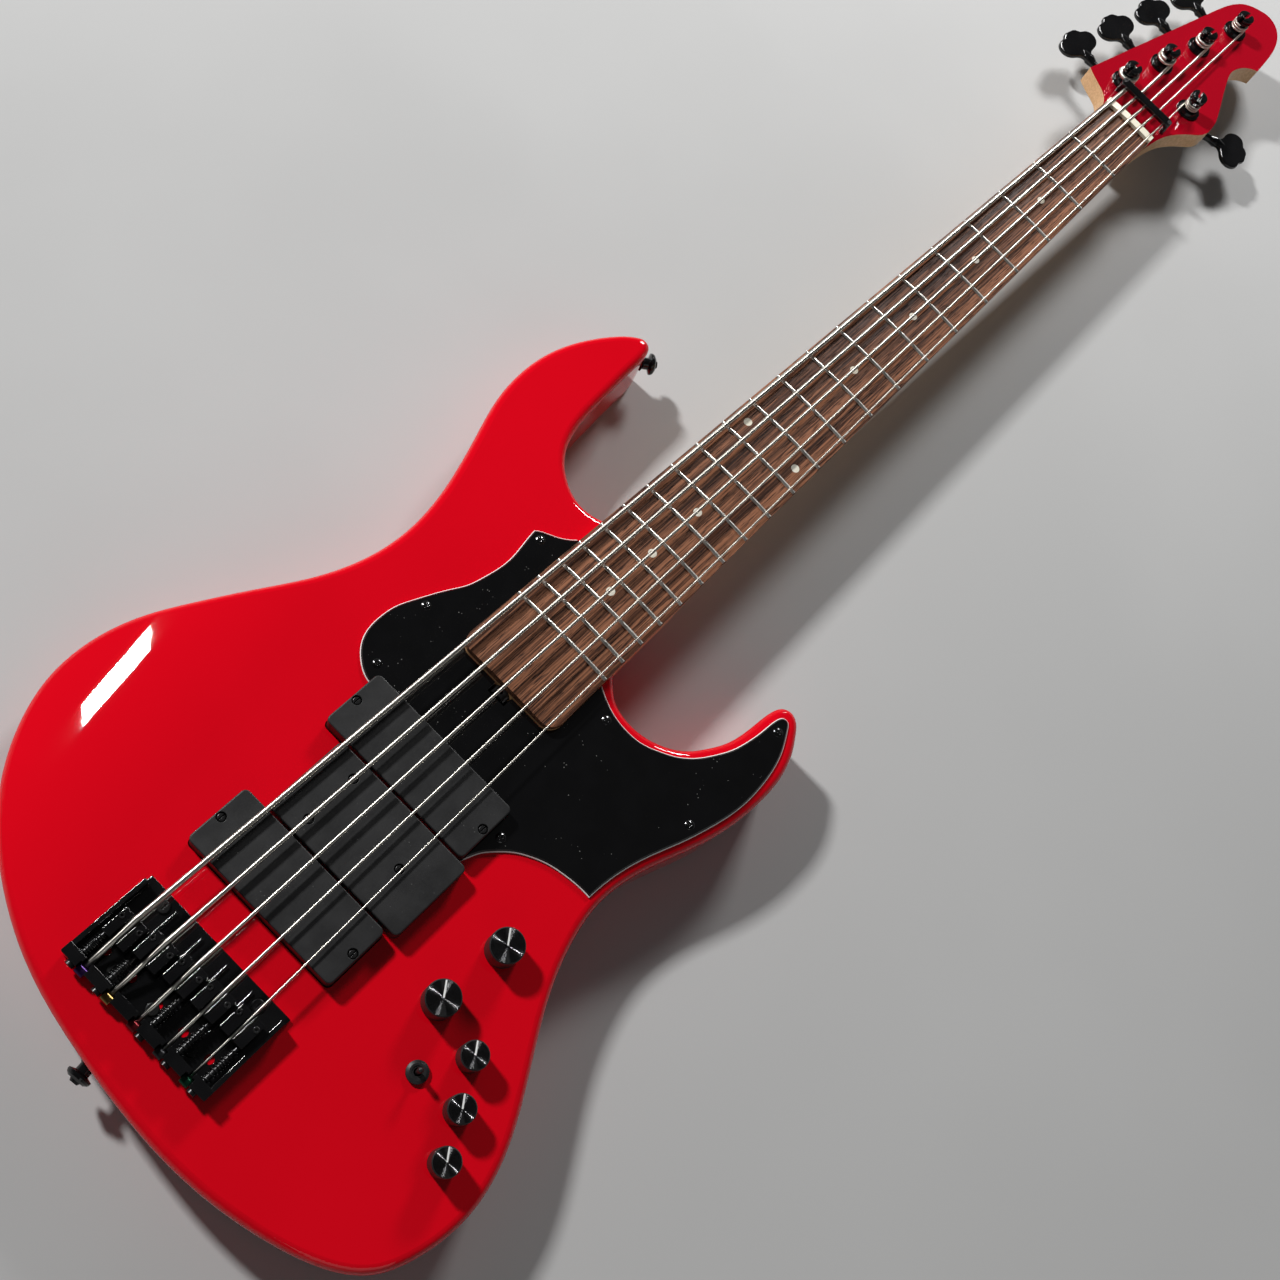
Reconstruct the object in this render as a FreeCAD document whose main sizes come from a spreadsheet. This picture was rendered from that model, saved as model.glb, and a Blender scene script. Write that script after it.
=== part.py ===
"""Five-string electric bass guitar, a parametric assembly in millimetres.

+X runs along the neck to the headstock, +Y to the side of the thickest string, +Z out of the face.
The origin lies on the flat back of the body, under the end of the scale, on the neck's centre line.
"""
import FreeCAD
import Part
import Sketcher
import math
import os
import re

from FreeCAD import Placement, Rotation, Vector

SIZES = (
    # Scale, frets and strings
    ("scale_length", 863.6),
    ("fret_count", 21),
    ("string_pitch", 18.0),
    ("nut_spread", 37.4),
    ("gauge_low_b", 3.3),
    ("gauge_e", 2.67),
    ("gauge_a", 2.16),
    ("gauge_d", 1.65),
    ("gauge_g", 1.14),
    ("crown_radius", 305.0),
    ("nut_lift", 0.5),
    ("saddle_lift", 3.9),
    ("bend_radius", 9.0),
    ("turn_gap", 0.55),
    ("string_seat_gap", 0.08),
    # Body
    ("body_length", 515.0),
    ("body_width", 342.0),
    ("body_tail", 71.0),
    ("body_thickness", 45.0),
    ("rim_round", 5.0),
    ("forearm_radius", 200.0),
    ("forearm_angle", 12.0),
    ("forearm_reach", 130.0),
    ("overrun", 2.0),
    ("hole_gap", 0.05),
    # Neck and its pocket
    ("pocket_depth", 16.0),
    ("pocket_gap", 0.1),
    ("heel_thickness", 20.0),
    ("heel_length", 110.0),
    ("heel_scoop", 20.0),
    ("heel_width", 71.6),
    ("nut_width", 43.4),
    ("shaft_depth_nut", 15.0),
    ("shaft_depth_heel", 17.5),
    ("head_length", 214.0),
    ("head_width", 96.0),
    ("head_step", 5.0),
    ("head_thickness", 14.0),
    ("head_ramp", 26.0),
    # Fingerboard, frets, dots and nut
    ("board_overhang", 44.75),
    ("board_thickness", 6.0),
    ("board_corner", 8.5),
    ("fret_width", 2.6),
    ("fret_height", 1.1),
    ("fret_inset", 0.3),
    ("tang_width", 0.6),
    ("tang_depth", 1.8),
    ("slot_gap", 0.03),
    ("dot_radius", 2.7),
    ("dot_depth", 2.0),
    ("dot_pair_pitch", 40.6),
    ("side_dot_radius", 1.0),
    ("nut_thickness", 5.6),
    ("nut_height", 8.6),
    ("nut_slot_room", 0.2),
    # Truss rod
    ("rod_radius", 3.0),
    ("rod_drop", 5.0),
    ("rod_margin", 15.6),
    ("adjuster_radius", 5.0),
    ("adjuster_length", 5.4),
    ("adjuster_room", 1.4),
    ("adjuster_hole", 1.2),
    # Neck fastening
    ("neck_screw_radius", 2.4),
    ("neck_screw_length", 40.0),
    ("neck_head_radius", 4.4),
    ("neck_head_height", 2.6),
    ("ferrule_radius", 7.2),
    ("ferrule_depth", 5.0),
    ("ferrule_floor", 1.8),
    ("flush_inset", 0.3),
    ("neck_screw_pitch", 40.0),
    # Pickguard
    ("guard_thickness", 2.4),
    ("guard_bevel", 1.3),
    ("guard_gap", 0.4),
    ("trim_screw_radius", 1.4),
    ("trim_screw_length", 12.0),
    ("trim_head_radius", 2.9),
    ("trim_head_height", 1.5),
    # Pickups and finger ramp
    ("pickup_length", 101.6),
    ("pickup_width", 38.1),
    ("pickup_height", 24.0),
    ("pickup_rise", 10.5),
    ("pickup_corner", 3.2),
    ("pickup_ease", 0.8),
    ("pickup_wall", 2.6),
    ("pickup_gap", 0.5),
    ("foam_thickness", 3.0),
    ("pickup_screw_inset", 3.4),
    ("pickup_screw_radius", 1.3),
    ("pickup_screw_length", 26.0),
    ("pickup_head_radius", 2.4),
    ("pickup_head_height", 1.6),
    ("pickup_head_sink", 2.2),
    ("counterbore_radius", 2.8),
    ("ramp_gap", 1.55),
    ("ramp_length", 93.2),
    ("ramp_offset", 10.0),
    ("ramp_screw_length", 20.0),
    # Bridge
    ("bridge_back", 41.0),
    ("bridge_length", 54.0),
    ("bridge_width", 98.4),
    ("plate_thickness", 2.5),
    ("bridge_wall", 2.5),
    ("rear_wall", 6.2),
    ("rear_height", 11.5),
    ("side_height", 10.0),
    ("side_setback", 4.0),
    ("bridge_ease", 1.0),
    ("rail_width", 1.2),
    ("rail_height", 1.6),
    ("rail_length", 27.0),
    ("through_hole_radius", 2.5),
    ("through_hole_place", 26.0),
    ("ball_radius", 2.75),
    ("ball_length", 5.2),
    ("ball_room", 0.3),
    ("ball_gap", 0.18),
    ("ball_level", 6.2),
    ("tail_room", 0.5),
    ("bridge_screw_radius", 1.9),
    ("bridge_screw_length", 24.0),
    ("bridge_head_radius", 3.4),
    ("bridge_head_height", 1.3),
    # Saddles
    ("setback_most", 7.4),
    ("saddle_width", 15.4),
    ("saddle_length", 15.0),
    ("saddle_nose", 0.8),
    ("saddle_floor", 4.7),
    ("saddle_groove", 1.0),
    ("groove_room", 0.7),
    ("groove_clear", 0.5),
    ("saddle_ease", 0.5),
    ("height_screw_radius", 1.5),
    ("height_screw_offset", 6.0),
    ("height_screw_place", 3.4),
    ("height_screw_proud", 0.6),
    ("height_socket_radius", 0.75),
    ("foot_gap", 0.05),
    ("intonation_radius", 1.5),
    ("intonation_offset", 5.9),
    ("intonation_level", 7.0),
    ("intonation_engaged", 4.4),
    ("intonation_bore_depth", 9.4),
    ("intonation_head_radius", 2.5),
    ("intonation_head_height", 2.0),
    ("running_gap", 0.06),
    ("spring_wire", 0.7),
    ("spring_radius", 2.4),
    ("spring_end_gap", 0.1),
    # String retainer
    ("retainer_place", 31.2),
    ("retainer_length", 49.0),
    ("retainer_width", 7.0),
    ("retainer_level", 7.0),
    ("retainer_height", 4.6),
    ("retainer_round", 2.0),
    ("retainer_lead", 2.0),
    ("retainer_skew", 1.2),
    ("retainer_gap", 0.4),
    ("retainer_post_radius", 1.8),
    ("retainer_screw_radius", 1.1),
    ("retainer_screw_length", 18.0),
    ("retainer_head_radius", 1.8),
    ("retainer_head_height", 1.2),
    # Tuners
    ("worm_lead", 2.8),
    ("gear_teeth", 20),
    ("worm_pitch_radius", 3.6),
    ("worm_core_radius", 2.5),
    ("worm_tip_radius", 4.4),
    ("thread_root", 1.35),
    ("thread_tip", 0.45),
    ("thread_sink", 0.25),
    ("thread_turns", 4),
    ("tooth_tip_reach", 0.7),
    ("tooth_root_reach", 1.3),
    ("tooth_root_width", 1.3),
    ("tooth_tip_width", 0.55),
    ("gear_thickness", 3.6),
    ("worm_drop", 8.0),
    ("post_radius", 5.0),
    ("post_waist_radius", 4.3),
    ("post_height", 16.4),
    ("post_collar_radius", 6.3),
    ("post_collar_height", 1.3),
    ("post_groove_radius", 5.5),
    ("post_groove_height", 0.8),
    ("post_cap_height", 0.7),
    ("post_cap_radius", 4.6),
    ("post_slot_width", 2.4),
    ("post_slot_depth", 6.5),
    ("post_bore_radius", 1.7),
    ("gear_screw_radius", 3.4),
    ("gear_screw_height", 2.2),
    ("bushing_flange_radius", 9.2),
    ("bushing_flange_height", 1.2),
    ("bushing_nut_radius", 7.4),
    ("bushing_nut_height", 2.0),
    ("bushing_sleeve_radius", 6.4),
    ("winding_gap", 0.35),
    ("base_thickness", 2.0),
    ("base_reach", 12.0),
    ("base_width", 30.0),
    ("base_margin", 9.4),
    ("base_corner", 3.0),
    ("lug_inner", 8.4),
    ("lug_thickness", 3.0),
    ("lug_width", 7.0),
    ("lug_below", 4.4),
    ("journal_radius", 2.0),
    ("shaft_radius", 3.0),
    ("key_reach", 50.5),
    ("key_width", 37.0),
    ("key_height", 27.0),
    ("key_thickness", 3.4),
    ("key_round", 1.0),
    ("key_stem", 10.0),
    ("key_stem_radius", 4.2),
    ("tuner_screw_radius", 1.2),
    ("tuner_screw_length", 11.0),
    ("tuner_head_radius", 2.2),
    ("tuner_head_height", 1.3),
    ("tuner_screw_margin", 3.2),
    ("tuner_turn", 12.4),
    ("treble_tuner_turn", 20.0),
    ("treble_key_roll", -3.0),
    # Controls
    ("control_top", 6.0),
    ("cavity_corner", 11.0),
    ("cover_lip", 6.0),
    ("cover_thickness", 2.2),
    ("cover_gap", 0.3),
    ("pot_radius", 8.2),
    ("pot_height", 7.5),
    ("pot_bushing_radius", 3.7),
    ("pot_bushing_height", 11.0),
    ("pot_nut_radius", 5.6),
    ("pot_nut_height", 2.2),
    ("pot_shaft_radius", 3.0),
    ("pot_shaft_sink", 5.0),
    ("knob_large_radius", 9.5),
    ("knob_small_radius", 7.5),
    ("knob_height", 16.4),
    ("knob_lift", 0.7),
    ("knob_ease", 0.6),
    ("knob_skirt", 4.0),
    ("knob_wall", 1.6),
    ("pointer_width", 0.9),
    ("pointer_depth", 0.5),
    ("pointer_angle", 36.0),
    ("switch_length", 13.0),
    ("switch_width", 8.0),
    ("switch_height", 9.5),
    ("switch_bushing_radius", 3.0),
    ("switch_bore_radius", 2.1),
    ("switch_bushing_height", 8.6),
    ("switch_nut_radius", 5.9),
    ("switch_nut_height", 3.0),
    ("switch_nut_ease", 0.8),
    ("lever_radius", 1.1),
    ("lever_tip_radius", 1.5),
    ("lever_tip_angle", 75.0),
    ("lever_ball_radius", 2.0),
    ("lever_height", 13.5),
    ("lever_pivot_sink", 1.0),
    ("lever_pin_radius", 0.6),
    ("lever_pin_length", 5.4),
    ("bay_turn", 27.0),
    ("battery_length", 48.5),
    ("battery_width", 26.5),
    ("battery_height", 17.5),
    ("battery_corner", 2.5),
    ("preamp_length", 34.0),
    ("preamp_width", 27.0),
    ("preamp_height", 11.0),
    ("preamp_corner", 1.5),
    # Output jack
    ("jack_angle", 211.0),
    ("jack_level", 22.5),
    ("jack_barrel_radius", 6.0),
    ("jack_barrel_length", 30.0),
    ("jack_flange_radius", 9.0),
    ("jack_flange_height", 4.0),
    ("jack_flange_ease", 1.0),
    ("jack_bore_radius", 3.25),
    ("jack_bore_depth", 26.0),
    ("jack_lead_radius", 4.0),
    ("jack_lead_length", 54.0),
    ("jack_seat_gap", 0.3),
    # Strap buttons
    ("button_level", 22.5),
    ("button_base_radius", 5.2),
    ("button_base_height", 1.4),
    ("button_waist_radius", 3.8),
    ("button_waist_height", 3.4),
    ("button_head_radius", 6.8),
    ("button_head_height", 4.4),
    ("button_bore_radius", 2.0),
    ("button_screw_radius", 1.9),
    ("button_screw_length", 13.0),
    ("button_screw_head_radius", 2.9),
    ("button_screw_head_height", 1.4),
    ("rear_button_angle", 186.0),
    ("horn_button_angle", 313.0),
)

# Shares of the body's length, from its rear end, and of its width, from the neck's centre line
BODY_OUTLINE_SHARES = (
    (0.798, 0.000), (0.794, 0.053), (0.785, 0.094), (0.778, 0.123), (0.777, 0.155), (0.788, 0.197),
    (0.814, 0.237), (0.852, 0.258), (0.905, 0.267), (0.953, 0.273), (0.984, 0.278), (0.995, 0.287),
    (0.997, 0.301), (0.991, 0.317), (0.971, 0.342), (0.934, 0.372), (0.891, 0.392), (0.845, 0.396),
    (0.798, 0.385),
    (0.746, 0.358), (0.693, 0.330), (0.639, 0.310), (0.588, 0.305), (0.542, 0.315), (0.491, 0.342),
    (0.4344, 0.3889), (0.3823, 0.4346), (0.3332, 0.4737), (0.2860, 0.4939), (0.2305, 0.4918), (0.1769, 0.4602),
    (0.1239, 0.4012), (0.0858, 0.3345), (0.0561, 0.2603), (0.029, 0.161), (0.013, 0.053), (0.004, -0.058),
    (0.001, -0.146), (0.004, -0.234), (0.015, -0.327), (0.033, -0.411), (0.061, -0.474), (0.105, -0.508),
    (0.160, -0.520), (0.217, -0.503), (0.270, -0.465), (0.322, -0.419), (0.375, -0.378), (0.421, -0.355),
    (0.458, -0.346), (0.495, -0.350), (0.532, -0.365), (0.571, -0.387), (0.610, -0.406), (0.647, -0.417),
    (0.682, -0.421), (0.715, -0.418), (0.744, -0.405), (0.763, -0.389), (0.776, -0.373), (0.780, -0.356),
    (0.776, -0.341), (0.765, -0.332), (0.751, -0.328), (0.726, -0.324), (0.699, -0.315), (0.674, -0.296),
    (0.653, -0.272), (0.639, -0.241),
    (0.631, -0.206), (0.630, -0.171), (0.636, -0.137), (0.649, -0.113), (0.666, -0.094), (0.692, -0.088),
    (0.730, -0.084), (0.762, -0.071), (0.786, -0.042),
)
FOREARM_SHARE = (0.301, 0.253)
# Most rounding of the rims, which the horn's narrow tip can take
RIM_ROUND_SHARE = 0.0147
GUARD_BASS_SHARES = (
    (0.450, 0.140), (0.453, 0.169), (0.461, 0.189), (0.475, 0.209), (0.492, 0.219), (0.510, 0.221),
    (0.529, 0.218), (0.548, 0.208), (0.567, 0.196), (0.587, 0.182), (0.606, 0.168), (0.625, 0.161),
    (0.645, 0.156), (0.664, 0.155), (0.683, 0.159), (0.709, 0.165),
)
GUARD_NECK_SHARES = ((0.709, 0.165), (0.715, 0.154), (0.721, 0.137), (0.729, 0.119), (0.738, 0.106))
GUARD_HORN_SHARES = (
    (0.641, -0.088), (0.627, -0.124), (0.620, -0.155), (0.618, -0.183), (0.621, -0.220), (0.628, -0.244),
    (0.637, -0.268), (0.653, -0.294), (0.672, -0.313), (0.692, -0.328), (0.711, -0.336), (0.730, -0.341),
    (0.744, -0.343), (0.756, -0.346), (0.763, -0.352), (0.764, -0.361), (0.757, -0.371), (0.746, -0.380),
    (0.730, -0.391), (0.707, -0.400), (0.682, -0.404), (0.658, -0.404), (0.633, -0.399), (0.604, -0.388),
    (0.575, -0.374), (0.546, -0.357), (0.517, -0.342), (0.491, -0.333), (0.457, -0.328),
)
GUARD_WAIST_SHARES = (
    (0.457, -0.328), (0.457, -0.302), (0.455, -0.277), (0.451, -0.249), (0.444, -0.223), (0.434, -0.198),
    (0.420, -0.176), (0.407, -0.161), (0.393, -0.152), (0.383, -0.145),
)
GUARD_SCREW_SHARES = (
    (0.470, 0.166), (0.554, 0.186), (0.705, 0.146), (0.609, -0.148), (0.434, -0.166), (0.592, -0.362),
    (0.745, -0.362),
)
KNOB_SHARES = (
    ("volume_knob", "knob_large_radius", (0.275, -0.276)),
    ("blend_knob", "knob_large_radius", (0.355, -0.289)),
    ("treble_knob", "knob_small_radius", (0.259, -0.366)),
    ("middle_knob", "knob_small_radius", (0.216, -0.405)),
    ("bass_knob", "knob_small_radius", (0.173, -0.440)),
)
SWITCH_SHARE = (0.214, -0.325)
CAVITY_SHARES = (
    (0.142, -0.439), (0.184, -0.442), (0.262, -0.371), (0.359, -0.292), (0.355, -0.268), (0.270, -0.263),
    (0.208, -0.316), (0.138, -0.395),
)
BATTERY_SHARE = (0.288, -0.320)
PREAMP_SHARE = (0.190, -0.392)
JACK_SHARE = (0.051, -0.431)
REAR_BUTTON_SHARE = (0.0115, 0.010)
HORN_BUTTON_SHARE = (0.9945, 0.2870)
# Shares of the neck pocket's length, and of the scale
NECK_SCREW_SHARES = (0.155, 0.688)
PICKUP_SHARES = (0.06357, 0.16964)
# Shares of the headstock's length, from the nut, and of its width
HEAD_SHOULDER_SHARES = (
    (0.011, 0.225), (0.049, 0.242), (0.079, 0.284), (0.105, 0.375), (0.124, 0.469), (0.138, 0.523),
)
HEAD_TIP_SHARES = (
    (0.787, 0.218), (0.843, 0.191), (0.894, 0.159), (0.937, 0.113), (0.970, 0.047), (0.990, -0.041),
    (0.999, -0.121), (0.991, -0.201), (0.962, -0.281), (0.908, -0.344), (0.824, -0.381), (0.729, -0.397),
)
HEAD_TREBLE_SHARES = (
    (0.729, -0.397), (0.715, -0.348), (0.692, -0.301), (0.664, -0.271), (0.636, -0.258), (0.603, -0.266),
    (0.567, -0.294), (0.496, -0.356), (0.426, -0.422), (0.380, -0.458), (0.338, -0.475), (0.301, -0.474),
    (0.271, -0.448), (0.236, -0.389), (0.193, -0.323), (0.146, -0.273), (0.077, -0.239), (0.011, -0.225),
)
POST_SHARES = ((0.200, 0.271), (0.401, 0.170), (0.602, 0.072), (0.803, -0.027), (0.319, -0.240))
# Quarter turns of each string on its post, and saddle setback in shares of the largest one
TURN_QUARTERS = (5, 7, 9, 11, 13)
SETBACK_SHARES = (1.0, 0.61, 0.34, 0.15, -0.09)
GAUGES = ("gauge_low_b", "gauge_e", "gauge_a", "gauge_d", "gauge_g")
# Side of the string on which each intonation screw runs
SCREW_SIDES = (1, 1, -1, -1, -1)
SPRING_TURNS = 7
# Most of a straight run that a string's bend takes up
BEND_SHARE = 0.45
SINGLE_DOT_FRETS = (3, 5, 7, 9, 15, 17, 19)
DOUBLE_DOT_FRET = 12
# Shares of a clover key's half width and height, from the stem round one side to the middle of the top
KEY_SHARES = (
    (0.20, 0.00), (0.34, 0.17), (0.66, 0.25), (0.94, 0.42), (0.97, 0.66), (0.72, 0.83), (0.50, 0.87),
    (0.32, 0.97),
)
BRIDGE_SCREW_SHARES = ((0.88, 0.34), (0.88, -0.34), (0.22, 0.274), (0.22, 0.0), (0.22, -0.274))
RAMP_SCREW_SHARES = ((-0.305, 0.295), (0.305, 0.295), (0.0, -0.243))

X_AXIS = Vector(1, 0, 0)
Y_AXIS = Vector(0, 1, 0)
Z_AXIS = Vector(0, 0, 1)
ALONG = {"x": Rotation(Y_AXIS, 90), "y": Rotation(X_AXIS, -90), "z": Rotation()}

doc = FreeCAD.newDocument("ElectricBass")
sheet = doc.addObject("Spreadsheet::Sheet", "Sizes")
for row, (alias, value) in enumerate(SIZES, start=1):
    sheet.set(f"A{row}", alias)
    sheet.set(f"B{row}", str(value))
    sheet.setAlias(f"B{row}", alias)
doc.recompute()
nodes = []


def mm(alias):
    """Value of a named size, read from the sheet."""
    return float(sheet.get(alias))


def linked(text):
    """Expression text with each size name written as a cell of the sheet."""
    return re.sub(r"[a-z][a-z_]+", lambda word: f"Sizes.{word.group(0)}", text)


def bind(item, at=("0", "0", "0"), **sizes):
    """Bind an object's sizes, and the base of its placement, to the sheet."""
    for name, text in sizes.items():
        item.setExpression(name, linked(text))
    for axis, text in zip("xyz", at):
        item.setExpression(f"Placement.Base.{axis}", linked(text))
    return item


def block(name, at, span):
    """Box from its low corner, with every length a text in size names."""
    item = doc.addObject("Part::Box", name)
    return bind(item, at, Length=span[0], Width=span[1], Height=span[2])


def rod(name, radius, length, at=("0", "0", "0"), along="z"):
    """Cylinder along one axis."""
    item = doc.addObject("Part::Cylinder", name)
    item.Placement = Placement(Vector(), ALONG[along])
    return bind(item, at, Radius=radius, Height=length)


def taper(name, low_radius, high_radius, length, at=("0", "0", "0"), along="z"):
    """Cone frustum along one axis."""
    item = doc.addObject("Part::Cone", name)
    item.Placement = Placement(Vector(), ALONG[along])
    return bind(item, at, Radius1=low_radius, Radius2=high_radius, Height=length)


def fuse(name, *pieces):
    """Union of document objects."""
    item = doc.addObject("Part::MultiFuse", name)
    item.Shapes = list(pieces)
    return item


def cut(name, base, *tools):
    """Base object less every tool."""
    item = doc.addObject("Part::Cut", name)
    item.Base = base
    item.Tool = tools[0] if len(tools) == 1 else fuse(f"{name}_tools", *tools)
    return item


def feature(name, shape):
    """Document object that holds a shape worked out from the sheet."""
    item = doc.addObject("Part::Feature", name)
    item.Shape = shape
    return item


def node(name, item):
    """Name a finished sub-part and keep it for export."""
    item.Label = name
    nodes.append(item)
    return item


def group(name, solids):
    """Sub-part made of several separate solids."""
    return node(name, feature(name, Part.makeCompound(solids)))


def built(item):
    """Shape of a bound object, worked out now, as separate solids."""
    doc.recompute()
    return item.Shape.copy()


def moved(shape, placement):
    """Copy of a shape carried by a placement."""
    copy = shape.copy()
    copy.Placement = placement.multiply(copy.Placement)
    return copy


def cylinder(radius, length, base, axis=Z_AXIS):
    """Plain cylinder for drilling and turning."""
    return Part.makeCylinder(radius, length, base, axis)


def curve(points):
    """Smooth edge through points."""
    line = Part.BSplineCurve()
    line.interpolate(points)
    return line.toShape()


def on_body(share, level=0.0):
    """Point of the body's plan from shares of its length and width."""
    return Vector(share[0] * mm("body_length") - mm("body_tail"), share[1] * mm("body_width"), level)


def on_head(share, level=0.0):
    """Point of the headstock's plan from shares of its length and width."""
    return Vector(mm("scale_length") + share[0] * mm("head_length"), share[1] * mm("head_width"), level)


# Levels and places that several pieces share
TOP = mm("body_thickness")
POCKET_FLOOR = TOP - mm("pocket_depth")
NECK_TOP = POCKET_FLOOR + mm("heel_thickness")
BOARD_TOP = NECK_TOP + mm("board_thickness")
BOARD_END = mm("scale_length") * 2 ** (-mm("fret_count") / 12) - mm("board_overhang")
BOARD_LENGTH = mm("scale_length") - BOARD_END
BOARD_START_TEXT = "scale_length * 2 ^ (-fret_count / 12) - board_overhang"
ROD_LENGTH = BOARD_LENGTH - mm("rod_margin")
HEAD_FACE = NECK_TOP - mm("head_step")
HEAD_BACK = HEAD_FACE - mm("head_thickness")
NUT_BACK = mm("scale_length") + mm("nut_thickness")
CAVITY_ROOF = TOP - mm("control_top")
OVERRUN = mm("overrun")
HOLE_GAP = mm("hole_gap")


def half_width(place):
    """Half the neck's width at a place along it."""
    spread = (mm("heel_width") - mm("nut_width")) / 2
    return mm("nut_width") / 2 + spread * (mm("scale_length") - place) / BOARD_LENGTH


def crown_drop(across):
    """Drop of the fingerboard's crown at a distance from its centre line."""
    return mm("crown_radius") - math.sqrt(mm("crown_radius") ** 2 - across ** 2)


def fret_place(number):
    """Place of a fret along the neck."""
    return mm("scale_length") * 2 ** (-number / 12)


def neck_prism(start, end, low, high, margin=0.0):
    """Tapered slab with the neck's plan, its body end square with rounded corners."""
    near = half_width(start) + margin
    far = half_width(end) + margin
    corners = [Vector(start - margin, -near, low), Vector(end, -far, low)]
    corners += [Vector(end, far, low), Vector(start - margin, near, low)]
    slab = Part.Face(Part.makePolygon(corners + corners[:1])).extrude(Z_AXIS * (high - low))
    ends = [edge for edge in slab.Edges if is_upright(edge) and edge.Vertexes[0].X < (start + end) / 2]
    return slab.makeFillet(mm("board_corner") + margin, ends)


def is_upright(edge):
    """True for a straight edge along Z."""
    first, last = edge.Vertexes[0].Point, edge.Vertexes[-1].Point
    return len(edge.Vertexes) == 2 and math.hypot(first.x - last.x, first.y - last.y) < 1e-6


# Places of the repeated pieces
STRING_LINES = [(2 - index) * mm("string_pitch") for index in range(len(GAUGES))]
NUT_LINES = [(0.5 - index / 4) * mm("nut_spread") for index in range(len(GAUGES))]
SADDLE_PLACES = [-share * mm("setback_most") for share in SETBACK_SHARES]
GUARD_SCREWS = [on_body(share) for share in GUARD_SCREW_SHARES]
POSTS = [on_head(share, HEAD_FACE) for share in POST_SHARES]
POCKET_LENGTH = on_body(BODY_OUTLINE_SHARES[0]).x - BOARD_END
NECK_SCREWS = [
    Vector(BOARD_END + share * POCKET_LENGTH, side * mm("neck_screw_pitch") / 2, 0)
    for share in NECK_SCREW_SHARES
    for side in (1, -1)
]
PICKUP_PLACES = [share * mm("scale_length") for share in PICKUP_SHARES]
PICKUP_FLOOR = TOP + mm("pickup_rise") - mm("pickup_height")
PICKUP_SCREW_LINE = mm("pickup_length") / 2 - mm("pickup_screw_inset")
PICKUP_SCREWS = [Vector(place, side * PICKUP_SCREW_LINE, 0) for place in PICKUP_PLACES for side in (1, -1)]
RAMP_PLACE = (PICKUP_PLACES[0] + PICKUP_PLACES[1]) / 2
RAMP_WIDTH = PICKUP_PLACES[1] - PICKUP_PLACES[0] - mm("pickup_width") - 2 * mm("ramp_gap")
RAMP_WIDTH_TEXT = f"{PICKUP_SHARES[1] - PICKUP_SHARES[0]} * scale_length - pickup_width - 2 * ramp_gap"
RAMP_SCREWS = [
    Vector(RAMP_PLACE + along * RAMP_WIDTH, across * mm("ramp_length") - mm("ramp_offset"), 0)
    for along, across in RAMP_SCREW_SHARES
]
BRIDGE_SCREWS = [
    Vector(along * mm("bridge_length") - mm("bridge_back"), across * mm("bridge_width"), 0)
    for along, across in BRIDGE_SCREW_SHARES
]


def cavity_face(offset, level):
    """Plan of the control cavity, grown from its corner points by an offset."""
    corners = [on_body(share, level) for share in CAVITY_SHARES]
    return Part.Face(Part.makePolygon(corners + corners[:1])).makeOffset2D(offset)


def cover_screw_points():
    """Places of the control cover's screws, on the lip outside the cavity's corners."""
    corners = [on_body(share) for share in CAVITY_SHARES]
    reach = mm("cavity_corner") + mm("cover_lip") / 2
    points = []
    for index, corner in enumerate(corners):
        before = (corner - corners[index - 1]).normalize()
        after = (corners[(index + 1) % len(corners)] - corner).normalize()
        edge = (before + after).normalize()
        points.append(corner + Vector(edge.y, -edge.x, 0) * reach)
    return points[1::2]


COVER_SCREWS = cover_screw_points()


def outward(alias):
    """Level direction at a named angle from +X."""
    angle = math.radians(mm(alias))
    return Vector(math.cos(angle), math.sin(angle), 0)


JACK_SEAT = on_body(JACK_SHARE, mm("jack_level"))
JACK_OUT = outward("jack_angle")
BUTTON_SEATS = (
    (on_body(REAR_BUTTON_SHARE, mm("button_level")), outward("rear_button_angle")),
    (on_body(HORN_BUTTON_SHARE, mm("button_level")), outward("horn_button_angle")),
)


def body_blank():
    """Body with its outline, forearm contour and rounded rims, before any cavity."""
    outline = Part.BSplineCurve()
    outline.interpolate([on_body(share) for share in BODY_OUTLINE_SHARES], True)
    blank = Part.Face(Part.Wire([outline.toShape()])).extrude(Z_AXIS * TOP)
    radius = mm("forearm_radius")
    reach = mm("forearm_reach")
    middle = math.asin(reach / radius) / 2
    start = Vector(0, 0, TOP)
    half = Vector(radius * math.sin(middle), 0, TOP - radius * (1 - math.cos(middle)))
    end = Vector(reach, 0, TOP - radius * (1 - math.cos(2 * middle)))
    above = Vector(reach, 0, TOP + OVERRUN)
    back = Vector(0, 0, TOP + OVERRUN)
    edges = [Part.Arc(start, half, end).toShape(), Part.makeLine(end, above)]
    edges += [Part.makeLine(above, back), Part.makeLine(back, start)]
    profile = Part.Face(Part.Wire(edges))
    width = mm("body_length")
    scoop = profile.extrude(Y_AXIS * 2 * width)
    scoop.translate(Vector(0, -width, 0))
    crease = on_body(FOREARM_SHARE)
    scoop.Placement = Placement(crease, Rotation(Z_AXIS, 90 + mm("forearm_angle"))).multiply(scoop.Placement)
    blank = blank.cut(scoop)
    sides = [face for face in blank.Faces if abs(face.normalAt(*face.ParameterRange[::2]).z) < 1e-6]
    rim = max(sides, key=lambda face: face.Area)
    edges = [edge for edge in rim.Edges if not is_upright(edge)]
    return blank.makeFillet(min(mm("rim_round"), RIM_ROUND_SHARE * mm("body_width")), edges)


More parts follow.
